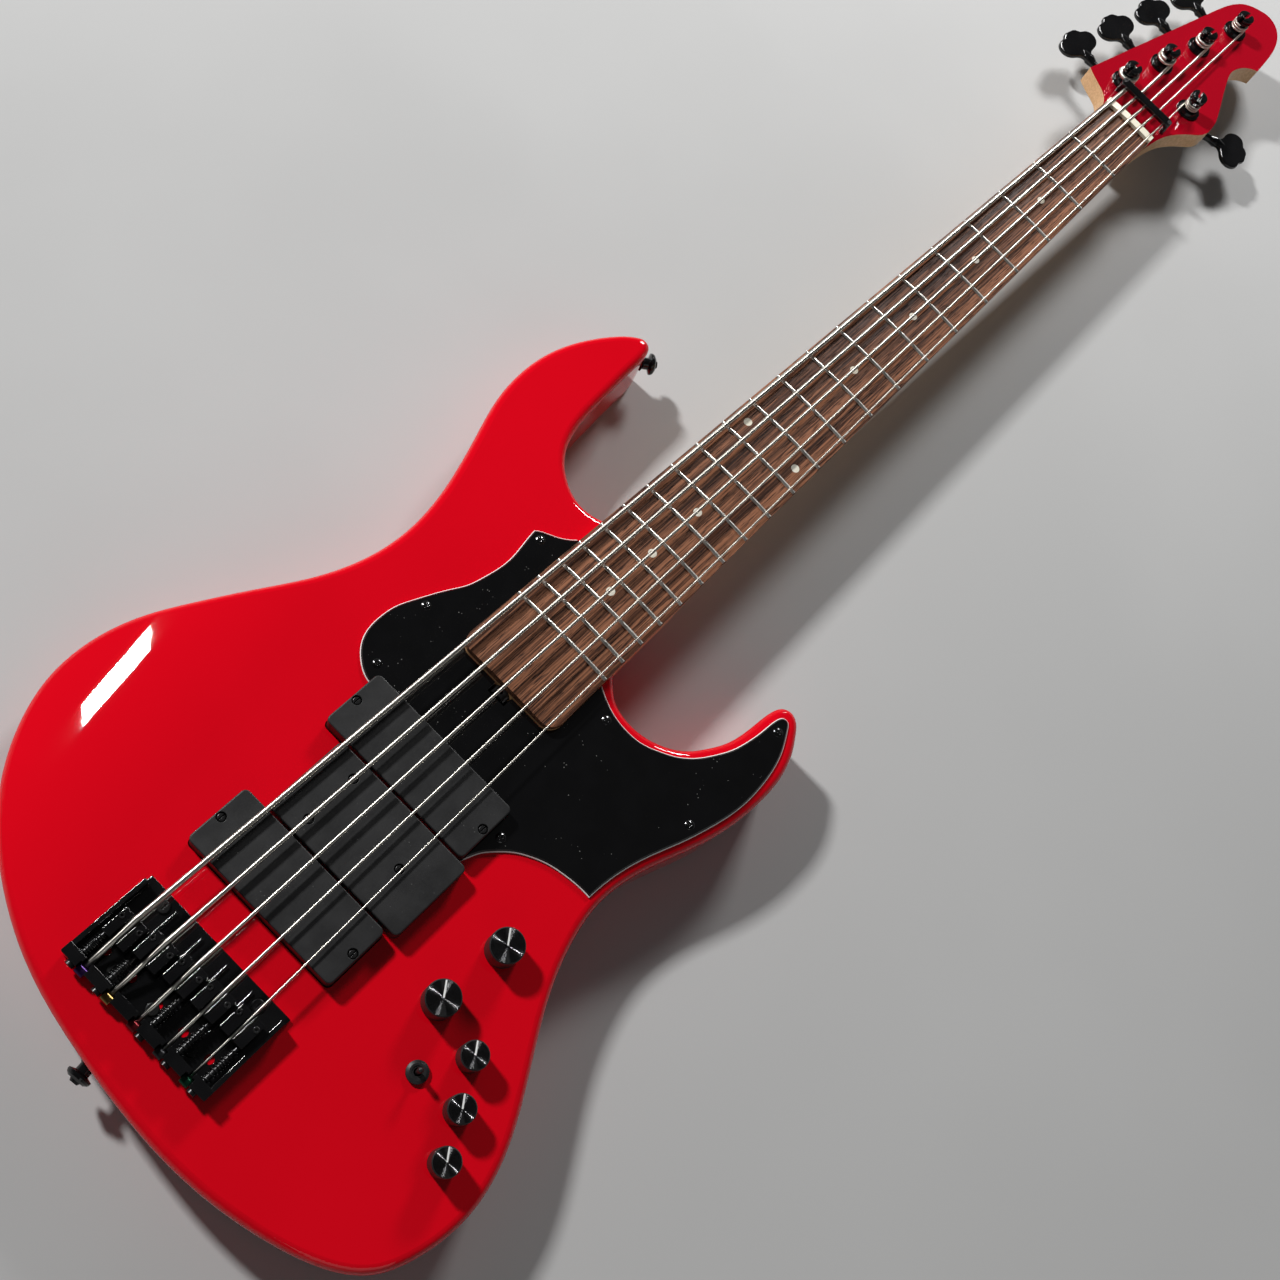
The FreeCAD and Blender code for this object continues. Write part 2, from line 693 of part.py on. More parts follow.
def body_cavities():
    """Everything that is routed or drilled out of the body."""
    tools = [neck_prism(BOARD_END, mm("body_length"), POCKET_FLOOR, TOP + OVERRUN, mm("pocket_gap"))]
    room = mm("adjuster_length") + mm("adjuster_room")
    wide = mm("adjuster_radius") + mm("adjuster_room")
    floor = NECK_TOP - mm("rod_drop") - wide
    notch = Vector(BOARD_END - room, -wide, floor)
    tools.append(Part.makeBox(room + OVERRUN, 2 * wide, TOP + OVERRUN - floor, notch))
    gap = mm("pickup_gap")
    for place in PICKUP_PLACES:
        low = PICKUP_FLOOR - mm("foam_thickness")
        size = (mm("pickup_width") + 2 * gap, mm("pickup_length") + 2 * gap, TOP + OVERRUN - low)
        rout = Part.makeBox(*size, Vector(place - size[0] / 2, -size[1] / 2, low))
        tools.append(rout.makeFillet(mm("pickup_corner"), [e for e in rout.Edges if is_upright(e)]))
    tools.append(cavity_face(mm("cavity_corner"), 0).extrude(Z_AXIS * CAVITY_ROOF))
    recess = cavity_face(mm("cavity_corner") + mm("cover_lip"), -OVERRUN)
    tools.append(recess.extrude(Z_AXIS * (mm("cover_thickness") + mm("flush_inset") + OVERRUN)))
    for _, _, share in KNOB_SHARES:
        tools.append(cylinder(mm("pot_bushing_radius") + HOLE_GAP, TOP, on_body(share, CAVITY_ROOF - OVERRUN)))
    tools.append(cylinder(mm("switch_bushing_radius") + HOLE_GAP, TOP, on_body(SWITCH_SHARE, CAVITY_ROOF - OVERRUN)))
    tools.append(cylinder(mm("jack_barrel_radius") + HOLE_GAP, 2 * mm("jack_barrel_length"),
                          JACK_SEAT - JACK_OUT * (mm("jack_barrel_length") + OVERRUN), JACK_OUT))
    tools.append(cylinder(mm("jack_flange_radius") + mm("jack_seat_gap"), TOP, JACK_SEAT, JACK_OUT))
    tools.append(cylinder(mm("jack_lead_radius"), mm("jack_lead_length"), JACK_SEAT, -JACK_OUT))
    for seat, out in BUTTON_SEATS:
        tools.append(cylinder(mm("button_base_radius") + mm("jack_seat_gap"), TOP, seat, out))
        depth = mm("button_screw_length")
        tools.append(cylinder(mm("button_screw_radius") + HOLE_GAP, depth + OVERRUN, seat - out * depth, out))
    for point in NECK_SCREWS:
        tools.append(cylinder(mm("neck_screw_radius") + HOLE_GAP, TOP, point - Z_AXIS * OVERRUN))
        sink = mm("ferrule_depth") + mm("flush_inset") + OVERRUN
        tools.append(cylinder(mm("ferrule_radius") + HOLE_GAP, sink, point - Z_AXIS * OVERRUN))
    tools += pilots(GUARD_SCREWS, "trim_screw_radius", TOP - mm("trim_screw_length"), TOP + OVERRUN)
    tools += pilots(COVER_SCREWS, "trim_screw_radius", 0, mm("trim_screw_length") + mm("cover_thickness"))
    low = TOP + mm("plate_thickness") - mm("bridge_screw_length")
    tools += pilots(BRIDGE_SCREWS, "bridge_screw_radius", low, TOP + OVERRUN)
    tools += pilots(RAMP_SCREWS, "pickup_screw_radius", TOP - mm("ramp_screw_length"), TOP + OVERRUN)
    low = TOP + mm("pickup_rise") - mm("pickup_head_sink") - mm("pickup_screw_length") - OVERRUN
    tools += pilots(PICKUP_SCREWS, "pickup_screw_radius", low, TOP)
    return tools


def pilots(points, radius, low, high):
    """Pilot holes for a row of screws."""
    wide = mm(radius) + HOLE_GAP
    return [cylinder(wide, high - low, Vector(point.x, point.y, low)) for point in points]


def shaft_section(place, depth):
    """Half ellipse below the fingerboard, across the neck."""
    centre = Vector(place, 0, NECK_TOP)
    half = half_width(place)
    bow = Part.Ellipse(centre + Y_AXIS * half, centre - Z_AXIS * depth, centre)
    arc = Part.ArcOfEllipse(bow, 0, math.pi).toShape()
    flat = Part.makeLine(centre - Y_AXIS * half, centre + Y_AXIS * half)
    return Part.Wire(Part.__sortEdges__([arc, flat]))


def neck_heel():
    """Square heel with a scooped end."""
    end = BOARD_END + mm("heel_length")
    scoop = mm("heel_scoop")
    slab = neck_prism(BOARD_END, end + scoop, POCKET_FLOOR, NECK_TOP)
    return slab.cut(cylinder(scoop, mm("body_width"), Vector(end + scoop, -mm("body_width") / 2, POCKET_FLOOR), Y_AXIS))


def headstock():
    """Headstock slab: its plan, cut by a side profile that ramps into the shaft."""
    start = mm("scale_length") - mm("head_step")
    half = half_width(start) - mm("flush_inset")
    outline = [curve([on_head(share) for share in HEAD_SHOULDER_SHARES])]
    outline.append(Part.makeLine(on_head(HEAD_SHOULDER_SHARES[-1]), on_head(HEAD_TIP_SHARES[0])))
    outline.append(curve([on_head(share) for share in HEAD_TIP_SHARES]))
    outline.append(curve([on_head(share) for share in HEAD_TREBLE_SHARES]))
    corners = [on_head(HEAD_TREBLE_SHARES[-1]), Vector(start, -half, 0), Vector(start, half, 0)]
    corners.append(on_head(HEAD_SHOULDER_SHARES[0]))
    outline += [Part.makeLine(*pair) for pair in zip(corners, corners[1:])]
    plan = Part.Face(Part.Wire(Part.__sortEdges__(outline))).extrude(Z_AXIS * TOP)
    tip = mm("scale_length") + mm("head_length") + OVERRUN
    ramp = mm("scale_length") + mm("head_ramp")
    rise = Vector(start, 0, NECK_TOP - mm("shaft_depth_nut") + mm("flush_inset"))
    low = Vector(ramp, 0, HEAD_BACK)
    bend = Vector((start + 2 * ramp) / 3, 0, HEAD_BACK + (rise.z - HEAD_BACK) / 9)
    side = [Part.Arc(rise, bend, low).toShape()]
    corners = [low, Vector(tip, 0, HEAD_BACK), Vector(tip, 0, HEAD_FACE), Vector(start, 0, HEAD_FACE), rise]
    side += [Part.makeLine(*pair) for pair in zip(corners, corners[1:])]
    profile = Part.Face(Part.Wire(Part.__sortEdges__(side))).extrude(Y_AXIS * 2 * mm("head_width"))
    profile.translate(Y_AXIS * -mm("head_width"))
    return plan.common(profile)


def nut_ramp():
    """Small cove that carries the headstock's face up to the nut's shelf."""
    step = mm("head_step")
    low = Vector(NUT_BACK + 2 * step, 0, HEAD_FACE)
    high = Vector(NUT_BACK, 0, NECK_TOP)
    middle = Vector(NUT_BACK + step * 0.6, 0, HEAD_FACE + step * 0.3)
    edges = [Part.Arc(low, middle, high).toShape(), Part.makeLine(high, high - Z_AXIS * 2 * step)]
    edges += [Part.makeLine(high - Z_AXIS * 2 * step, low - Z_AXIS * step), Part.makeLine(low - Z_AXIS * step, low)]
    half = half_width(NUT_BACK)
    cove = Part.Face(Part.Wire(edges)).extrude(Y_AXIS * 2 * half)
    cove.translate(Y_AXIS * -half)
    return cove


def build_body():
    """The wooden body."""
    node("body", feature("body", body_blank().cut(body_cavities())))


def build_neck():
    """The maple neck, with its rod channel and holes."""
    start = BOARD_END + mm("heel_length") / 2
    sections = [shaft_section(start, mm("shaft_depth_heel")), shaft_section(NUT_BACK, mm("shaft_depth_nut"))]
    shaft = Part.makeLoft(sections, True, True)
    solid = shaft.fuse([neck_heel(), headstock(), nut_ramp()]).removeSplitter()
    wide = mm("rod_radius") + HOLE_GAP
    level = NECK_TOP - mm("rod_drop")
    tools = [cylinder(wide, ROD_LENGTH + OVERRUN, Vector(BOARD_END - OVERRUN, 0, level), X_AXIS)]
    tools.append(Part.makeBox(ROD_LENGTH + OVERRUN, 2 * wide, 2 * mm("rod_drop"),
                              Vector(BOARD_END - OVERRUN, -wide, level)))
    tools += pilots(NECK_SCREWS, "neck_screw_radius", 0, mm("neck_screw_length") + mm("ferrule_floor") + OVERRUN)
    tools += pilots(POSTS, "bushing_sleeve_radius", HEAD_BACK - OVERRUN, HEAD_FACE + OVERRUN)
    for placement in TUNER_PLACEMENTS:
        for point in TUNER_SCREWS:
            place = placement.multVec(point)
            tools.append(cylinder(mm("tuner_screw_radius") + HOLE_GAP, mm("tuner_screw_length") + OVERRUN,
                                  Vector(place.x, place.y, HEAD_BACK - OVERRUN)))
    low = HEAD_FACE + mm("retainer_level") - mm("retainer_screw_length")
    tools += pilots(RETAINER_ENDS, "retainer_screw_radius", low, HEAD_FACE + OVERRUN)
    node("neck", feature("neck", solid.cut(tools)))


def build_truss_rod():
    """Steel rod in the neck with a wheel nut at the body end."""
    level = "body_thickness - pocket_depth + heel_thickness - rod_drop"
    start = BOARD_START_TEXT
    length = f"scale_length - ({start}) - rod_margin - adjuster_length"
    bar = rod("rod_bar", "rod_radius", length, (start, "0", level), "x")
    wheel_at = (f"{start} - adjuster_length", "0", level)
    wheel = rod("rod_wheel", "adjuster_radius", "adjuster_length", wheel_at, "x")
    hole_at = f"{start} - adjuster_length / 2"
    upright = rod("rod_hole", "adjuster_hole", "4 * adjuster_radius", (hole_at, "0", f"{level} - 2 * adjuster_radius"))
    level_hole = rod("rod_cross", "adjuster_hole", "4 * adjuster_radius", (hole_at, "-2 * adjuster_radius", level), "y")
    node("truss_rod", cut("truss_rod", fuse("rod_whole", bar, wheel), upright, level_hole))


def crown_cylinder(margin=0.0):
    """Cylinder whose top is the fingerboard's crown."""
    base = Vector(0, 0, BOARD_TOP - mm("crown_radius"))
    return cylinder(mm("crown_radius") + margin, 2 * mm("scale_length"), base, X_AXIS)


def fret_solid(place):
    """One fret: a round crown on a tang, bent to the fingerboard's crown."""
    half = mm("fret_width") / 2
    tang = mm("tang_width") / 2
    low = BOARD_TOP - mm("tang_depth")
    left = Vector(place - half, 0, BOARD_TOP)
    right = Vector(place + half, 0, BOARD_TOP)
    crown = Part.Arc(left, Vector(place, 0, BOARD_TOP + mm("fret_height")), right).toShape()
    corners = [right, Vector(place + tang, 0, BOARD_TOP), Vector(place + tang, 0, low)]
    corners += [Vector(place - tang, 0, low), Vector(place - tang, 0, BOARD_TOP), left]
    edges = [crown] + [Part.makeLine(*pair) for pair in zip(corners, corners[1:])]
    return swept_across(Part.Face(Part.Wire(edges)))


def swept_across(face):
    """Profile carried across the fingerboard about the axis of its crown."""
    centre = Vector(0, 0, BOARD_TOP - mm("crown_radius"))
    swing = math.degrees(math.asin(mm("heel_width") / mm("crown_radius")))
    face.rotate(centre, X_AXIS, -swing)
    return face.revolve(centre, X_AXIS, 2 * swing)


def slot_tool(place):
    """Saw cut for one tang."""
    half = mm("tang_width") / 2 + mm("slot_gap")
    low = BOARD_TOP - mm("tang_depth") - mm("slot_gap")
    corners = [Vector(place - half, 0, low), Vector(place + half, 0, low)]
    corners += [Vector(place + half, 0, BOARD_TOP + OVERRUN), Vector(place - half, 0, BOARD_TOP + OVERRUN)]
    return swept_across(Part.Face(Part.makePolygon(corners + corners[:1])))


def build_fingerboard():
    """Fingerboard, frets and inlaid dots."""
    blank = neck_prism(BOARD_END, mm("scale_length"), NECK_TOP, BOARD_TOP + OVERRUN).common(crown_cylinder())
    numbers = range(1, int(mm("fret_count")) + 1)
    inset = -mm("fret_inset")
    room = neck_prism(BOARD_END, mm("scale_length"), NECK_TOP, BOARD_TOP + OVERRUN, inset)
    frets = [fret_solid(fret_place(number)).common(room) for number in numbers]
    dots = []
    for number in SINGLE_DOT_FRETS + (DOUBLE_DOT_FRET,):
        middle = (fret_place(number) + fret_place(number - 1)) / 2
        pair = mm("dot_pair_pitch") / 2
        lines = (pair, -pair) if number == DOUBLE_DOT_FRET else (0,)
        for across in lines:
            floor = BOARD_TOP - crown_drop(across) - mm("dot_depth")
            dots.append(cylinder(mm("dot_radius"), TOP, Vector(middle, across, floor)).common(blank))
        side = Vector(middle, half_width(middle) - mm("dot_depth"), NECK_TOP + mm("board_thickness") / 3)
        dots.append(cylinder(mm("side_dot_radius"), TOP, side, Y_AXIS).common(blank))
    board = blank.cut([slot_tool(fret_place(number)) for number in numbers]).cut(dots)
    node("fingerboard", feature("fingerboard", board))
    group("frets", [fret.Solids[0] for fret in frets])
    group("position_dots", [dot.Solids[0] for dot in dots])


def build_nut():
    """Nut with a slot for each string."""
    half = half_width(mm("scale_length"))
    high = NECK_TOP + mm("nut_height")
    base = Vector(mm("scale_length"), -half, NECK_TOP)
    blank = Part.makeBox(mm("nut_thickness"), 2 * half, mm("nut_height"), base)
    blank = blank.common(crown_cylinder(high - BOARD_TOP))
    slots = []
    for index, gauge in enumerate(GAUGES):
        wide = mm(gauge) / 2 + mm("nut_slot_room")
        sink = Z_AXIS * (mm(gauge) / 2 + mm("string_seat_gap"))
        _, front, seat, back = string_points(index)[:4]
        start = seat + (front - seat).normalize() * mm("nut_thickness") - sink
        end = seat + (back - seat).normalize() * mm("nut_thickness") - sink
        corners = [Vector(point.x, seat.y, point.z) for point in (start, seat - sink, end)]
        corners += [Vector(point.x, seat.y, TOP + BOARD_TOP) for point in (end, start)]
        slot = Part.Face(Part.makePolygon(corners + corners[:1])).extrude(Y_AXIS * 2 * wide)
        slot.translate(Y_AXIS * -wide)
        slots.append(slot)
    node("nut", feature("nut", blank.cut(slots)))


def build_neck_fastening():
    """Ferrules sunk into the back and the screws that hold the neck."""
    ring = rod("ferrule_ring", "ferrule_radius", "ferrule_depth")
    bore = rod("ferrule_bore", "neck_screw_radius + hole_gap", "3 * ferrule_depth", ("0", "0", "-ferrule_depth"))
    sink_room = "neck_head_radius + 3 * hole_gap"
    sink = rod("ferrule_sink", sink_room, "ferrule_depth", ("0", "0", "-ferrule_floor"))
    ferrule = built(cut("ferrule", ring, bore, sink))
    head_at = ("0", "0", "ferrule_depth - ferrule_floor - neck_head_height")
    head = rod("neck_head", "neck_head_radius", "neck_head_height", head_at)
    shank = rod("neck_shank", "neck_screw_radius", "neck_screw_length", ("0", "0", "ferrule_depth - ferrule_floor"))
    screw = built(fuse("neck_screw", head, shank))
    places = [Placement(point + Z_AXIS * mm("flush_inset"), Rotation()) for point in NECK_SCREWS]
    group("neck_ferrules", [moved(ferrule, place).Solids[0] for place in places])
    group("neck_screws", [moved(screw, place).Solids[0] for place in places])


def guard_plan():
    """Plan of the pickguard before its cut-outs."""
    edges = []
    for shares in (GUARD_BASS_SHARES, GUARD_NECK_SHARES, GUARD_HORN_SHARES, GUARD_WAIST_SHARES):
        edges.append(curve([on_body(share, TOP) for share in shares]))
    inside = (GUARD_NECK_SHARES[-1][0], GUARD_HORN_SHARES[0][1])
    edges.append(Part.makeLine(on_body(GUARD_NECK_SHARES[-1], TOP), on_body(inside, TOP)))
    edges.append(Part.makeLine(on_body(inside, TOP), on_body(GUARD_HORN_SHARES[0], TOP)))
    edges.append(Part.makeLine(on_body(GUARD_WAIST_SHARES[-1], TOP), on_body(GUARD_BASS_SHARES[0], TOP)))
    return Part.Face(Part.Wire(Part.__sortEdges__(edges)))


def build_pickguard():
    """Pickguard with a bevelled edge, cut round the neck, the rod's wheel and the neck pickup."""
    thick = mm("guard_thickness")
    gap = mm("guard_gap")
    slab = guard_plan().extrude(Z_AXIS * thick)
    top_edges = [
        edge for edge in slab.Edges
        if min(vertex.Z for vertex in edge.Vertexes) > TOP + thick / 2 and edge.Curve.TypeId != "Part::GeomLine"
    ]
    slab = slab.makeChamfer(mm("guard_bevel"), top_edges)
    tools = [neck_prism(BOARD_END, mm("body_length"), TOP - OVERRUN, TOP + mm("body_thickness"), gap)]
    room = mm("adjuster_length") + mm("adjuster_room")
    wide = mm("adjuster_radius") + mm("adjuster_room")
    notch = Part.makeBox(2 * room, 2 * wide, TOP, Vector(BOARD_END - room, -wide, TOP - OVERRUN))
    tools.append(notch)
    size = (mm("pickup_width") + 2 * gap, mm("pickup_length") + 2 * gap, TOP)
    base = Vector(PICKUP_PLACES[1] - size[0] / 2, -size[1] / 2, TOP - OVERRUN)
    rout = Part.makeBox(*size, base)
    tools.append(rout.makeFillet(mm("pickup_corner"), [edge for edge in rout.Edges if is_upright(edge)]))
    ramp_edge = RAMP_PLACE + RAMP_WIDTH / 2 + gap
    tools.append(Part.makeBox(RAMP_WIDTH, mm("body_width"), TOP,
                              Vector(ramp_edge - RAMP_WIDTH, -mm("body_width") / 2, TOP - OVERRUN)))
    tools += pilots(GUARD_SCREWS, "trim_screw_radius", TOP - OVERRUN, TOP + mm("body_thickness"))
    high = TOP + thick
    for point in GUARD_SCREWS:
        tools.append(countersink(Vector(point.x, point.y, high), Z_AXIS))
    node("pickguard", feature("pickguard", largest(slab.cut(tools))))


def largest(shape):
    """Largest solid of a shape that a cut has left in pieces."""
    return max(shape.Solids, key=lambda solid: solid.Volume)


def countersink(point, axis):
    """Seat for a trim screw's head below a face."""
    wide = mm("trim_head_radius") + HOLE_GAP
    narrow = mm("trim_screw_radius") + HOLE_GAP
    return Part.makeCone(narrow, wide, mm("trim_head_height"), point - axis * mm("trim_head_height"), axis)


def build_cover_screws():
    """Countersunk screws of the pickguard and the control cover."""
    cone = taper("trim_cone", "trim_screw_radius", "trim_head_radius", "trim_head_height", ("0", "0", "-trim_head_height"))
    shank = rod("trim_shank", "trim_screw_radius", "trim_screw_length", ("0", "0", "-trim_screw_length"))
    slot_width = "trim_screw_radius / 2"
    slot = block("trim_slot", ("-trim_head_radius / 2", "-trim_screw_radius / 4", "-trim_head_height / 2"),
                 ("trim_head_radius", slot_width, "trim_head_height"))
    cross = block("trim_cross", ("-trim_screw_radius / 4", "-trim_head_radius / 2", "-trim_head_height / 2"),
                  (slot_width, "trim_head_radius", "trim_head_height"))
    screw = built(cut("trim_screw", fuse("trim_whole", cone, shank), slot, cross))
    guard_level = TOP + mm("guard_thickness")
    solids = []
    for index, point in enumerate(GUARD_SCREWS):
        turn = Rotation(Z_AXIS, 25 * index)
        solids.append(moved(screw, Placement(point + Z_AXIS * guard_level, turn)).Solids[0])
    upside_down = Rotation(X_AXIS, 180)
    for point in COVER_SCREWS:
        solids.append(moved(screw, Placement(point + Z_AXIS * mm("flush_inset"), upside_down)).Solids[0])
    group("cover_screws", solids)


def padded_slab(name, width, length, height, corner, ease=None):
    """Body padded from a rectangle about its own origin, with rounded corners and an eased top edge."""
    body = doc.addObject("PartDesign::Body", name)
    sketch = body.newObject("Sketcher::SketchObject", f"{name}_plan")
    plane = [item for item in body.Origin.OriginFeatures if item.Role == "XY_Plane"][0]
    sketch.AttachmentSupport = (plane, [""])
    sketch.MapMode = "FlatFace"
    corners = [Vector(x, y, 0) for x, y in ((-1, -1), (1, -1), (1, 1), (-1, 1))]
    for first, last in zip(corners, corners[1:] + corners[:1]):
        sketch.addGeometry(Part.LineSegment(first, last))
    for side in range(4):
        sketch.addConstraint(Sketcher.Constraint("Coincident", side, 2, (side + 1) % 4, 1))
    for side, kind in enumerate(("Horizontal", "Vertical", "Horizontal", "Vertical")):
        sketch.addConstraint(Sketcher.Constraint(kind, side))
    sketch.addConstraint(Sketcher.Constraint("Symmetric", 0, 1, 1, 2, -1, 1))
    across = sketch.addConstraint(Sketcher.Constraint("DistanceX", 0, 1, 0, 2, 2))
    along = sketch.addConstraint(Sketcher.Constraint("DistanceY", 1, 1, 1, 2, 2))
    sketch.setExpression(f"Constraints[{across}]", linked(width))
    sketch.setExpression(f"Constraints[{along}]", linked(length))
    pad = body.newObject("PartDesign::Pad", f"{name}_pad")
    pad.Profile = sketch
    pad.setExpression("Length", linked(height))
    doc.recompute()
    rounded = body.newObject("PartDesign::Fillet", f"{name}_corners")
    upright = [f"Edge{i}" for i, edge in enumerate(pad.Shape.Edges, start=1) if is_upright(edge)]
    rounded.Base = (pad, upright)
    rounded.setExpression("Radius", linked(corner))
    doc.recompute()
    if ease:
        eased = body.newObject("PartDesign::Fillet", f"{name}_ease")
        face = max(range(len(rounded.Shape.Faces)), key=lambda i: rounded.Shape.Faces[i].CenterOfMass.z)
        eased.Base = (rounded, [f"Face{face + 1}"])
        eased.setExpression("Radius", linked(ease))
        doc.recompute()
    return body


def build_pickups():
    """Pickup covers with their coils, foam and screws, and the block between them."""
    slab = padded_slab("pickup_slab", "pickup_width", "pickup_length", "pickup_height", "pickup_corner", "pickup_ease")
    hollow_at = ("pickup_wall - pickup_width / 2", "2 * pickup_screw_inset + pickup_wall - pickup_length / 2", "0")
    hollow_size = ("pickup_width - 2 * pickup_wall", "pickup_length - 4 * pickup_screw_inset - 2 * pickup_wall",
                   "pickup_height - pickup_wall")
    hollow = block("pickup_hollow", hollow_at, hollow_size)
    tools = [hollow]
    for label, sign in (("bass", ""), ("treble", "-")):
        line = f"{sign}(pickup_length / 2 - pickup_screw_inset)"
        tools.append(rod(f"pickup_hole_{label}", "pickup_screw_radius + hole_gap", "3 * pickup_height",
                         ("0", line, "-pickup_height")))
        tools.append(rod(f"pickup_sink_{label}", "counterbore_radius", "pickup_height",
                         ("0", line, "pickup_height - pickup_head_sink")))
    cover = built(cut("pickup_cover", slab, *tools))
    coil_size = tuple(f"{text} - 2 * hole_gap" for text in hollow_size)
    coil_at = tuple(f"{text} + hole_gap" for text in hollow_at)
    coil = built(block("pickup_coil", coil_at, coil_size))
    pad = built(block("foam_pad", ("-pickup_width / 2", hollow_at[1], "-foam_thickness"),
                      ("pickup_width", hollow_size[1], "foam_thickness")))
    names = ("pickup_bridge", "pickup_neck")
    places = [Placement(Vector(place, 0, PICKUP_FLOOR), Rotation()) for place in PICKUP_PLACES]
    for name, place in zip(names, places):
        node(name, feature(name, moved(cover, place).Solids[0]))
    group("pickup_coils", [moved(coil, place).Solids[0] for place in places])
    group("pickup_foam", [moved(pad, place).Solids[0] for place in places])
    ramp = padded_slab("ramp_slab", RAMP_WIDTH_TEXT, "ramp_length", "pickup_rise", "pickup_corner", "pickup_ease")
    ramp = built(ramp)
    ramp = moved(ramp, Placement(Vector(RAMP_PLACE, -mm("ramp_offset"), TOP), Rotation()))
    high = TOP + mm("pickup_rise")
    holes = pilots(RAMP_SCREWS, "pickup_screw_radius", TOP - OVERRUN, high)
    sinks = [cylinder(mm("counterbore_radius"), TOP, point + Z_AXIS * (high - mm("pickup_head_sink")))
             for point in RAMP_SCREWS]
    node("finger_ramp", feature("finger_ramp", ramp.cut(holes + sinks).Solids[0]))
    solids = [pickup_screw(point, mm("pickup_screw_length")) for point in PICKUP_SCREWS]
    solids += [pickup_screw(point, mm("ramp_screw_length")) for point in RAMP_SCREWS]
    group("pickup_screws", solids)


def pickup_screw(point, length):
    """Pan-head screw that stands on the floor of its counterbore."""
    seat = point + Z_AXIS * (TOP + mm("pickup_rise") - mm("pickup_head_sink"))
    head = cylinder(mm("pickup_head_radius"), mm("pickup_head_height"), seat)
    head = head.makeFillet(mm("pickup_head_height") / 2, [head.Edges[0]])
    wide = mm("pickup_screw_radius") / 2
    slot = Part.makeBox(2 * mm("pickup_head_radius"), wide, TOP,
                        seat + Vector(-mm("pickup_head_radius"), -wide / 2, mm("pickup_head_height") / 2))
    shank = cylinder(mm("pickup_screw_radius"), length, seat - Z_AXIS * length)
    return head.fuse(shank).cut(slot).Solids[0]


def build_bridge():
    """Bridge base with its rear wall, side walls and rails, and its mounting screws."""
    length = mm("bridge_length")
    width = mm("bridge_width")
    back = -mm("bridge_back")
    base = Vector(back, -width / 2, TOP)
    plate = Part.makeBox(length, width, mm("plate_thickness"), base)
    rear = Part.makeBox(mm("rear_wall"), width, mm("rear_height"), base)
    solids = [rear]
    for side in (0, 1):
        corner = base + Y_AXIS * (side * (width - mm("bridge_wall")))
        solids.append(Part.makeBox(length - mm("side_setback"), mm("bridge_wall"), mm("side_height"), corner))
    plate = plate.fuse(solids).removeSplitter()
    tall = [edge for edge in plate.Edges if is_upright(edge) and abs(edge.Vertexes[0].Y) > width / 2 - HOLE_GAP
            and edge.Vertexes[0].X < back + HOLE_GAP]
    plate = plate.makeFillet(mm("bridge_ease"), tall)
    floor = TOP + mm("plate_thickness")
    rails = []
    for index in range(len(GAUGES) - 1):
        line = (STRING_LINES[index] + STRING_LINES[index + 1]) / 2
        start = back + length - mm("rail_length") - mm("side_setback")
        rails.append(Part.makeBox(mm("rail_length"), mm("rail_width"), mm("rail_height"),
                                  Vector(start, line - mm("rail_width") / 2, floor - HOLE_GAP)))
    plate = plate.fuse(rails)
    tools = pilots(BRIDGE_SCREWS, "bridge_screw_radius", TOP - OVERRUN, TOP + mm("body_thickness"))
    level = TOP + mm("ball_level")
    inner = back + mm("rear_wall")
    for index, gauge in enumerate(GAUGES):
        line = STRING_LINES[index]
        tools.append(cylinder(mm("through_hole_radius"), TOP, Vector(-mm("through_hole_place"), line, TOP - OVERRUN)))
        wide = mm(gauge) / 2 + mm("tail_room")
        low = level - wide
        tools.append(Part.makeBox(TOP, 2 * wide, TOP, Vector(back - OVERRUN, line - wide, low)).common(
            Part.makeBox(mm("rear_wall") + 2 * OVERRUN, 2 * wide, TOP, Vector(back - OVERRUN, line - wide, low))))
        room = mm("ball_length") / 2 + mm("ball_room")
        deep = 2 * mm("ball_radius") + mm("ball_room")
        pocket = Vector(inner - mm("bridge_wall") - deep, line - room, level - mm("ball_radius") - mm("ball_room"))
        tools.append(Part.makeBox(deep, 2 * room, TOP, pocket))
        screw_line = Vector(back - OVERRUN, intonation_line(index), TOP + mm("intonation_level"))
        tools.append(cylinder(mm("intonation_radius") + mm("running_gap"), mm("rear_wall") + 2 * OVERRUN, screw_line, X_AXIS))
    node("bridge_plate", feature("bridge_plate", largest(plate.cut(tools))))
    solids = []
    for point in BRIDGE_SCREWS:
        seat = point + Z_AXIS * floor
        head = cylinder(mm("bridge_head_radius"), mm("bridge_head_height"), seat)
        head = head.makeFillet(mm("bridge_head_height") / 2, [head.Edges[0]])
        shank = cylinder(mm("bridge_screw_radius"), mm("bridge_screw_length"), seat - Z_AXIS * mm("bridge_screw_length"))
        wide = mm("bridge_screw_radius") / 2
        slot = Part.makeBox(2 * mm("bridge_screw_radius"), wide, TOP,
                            seat + Vector(-mm("bridge_screw_radius"), -wide / 2, mm("bridge_head_height") / 2))
        solids.append(head.fuse(shank).cut(slot).Solids[0])
    group("bridge_screws", solids)


def intonation_line(index):
    """Distance of an intonation screw from the centre line."""
    return STRING_LINES[index] + SCREW_SIDES[index] * mm("intonation_offset")


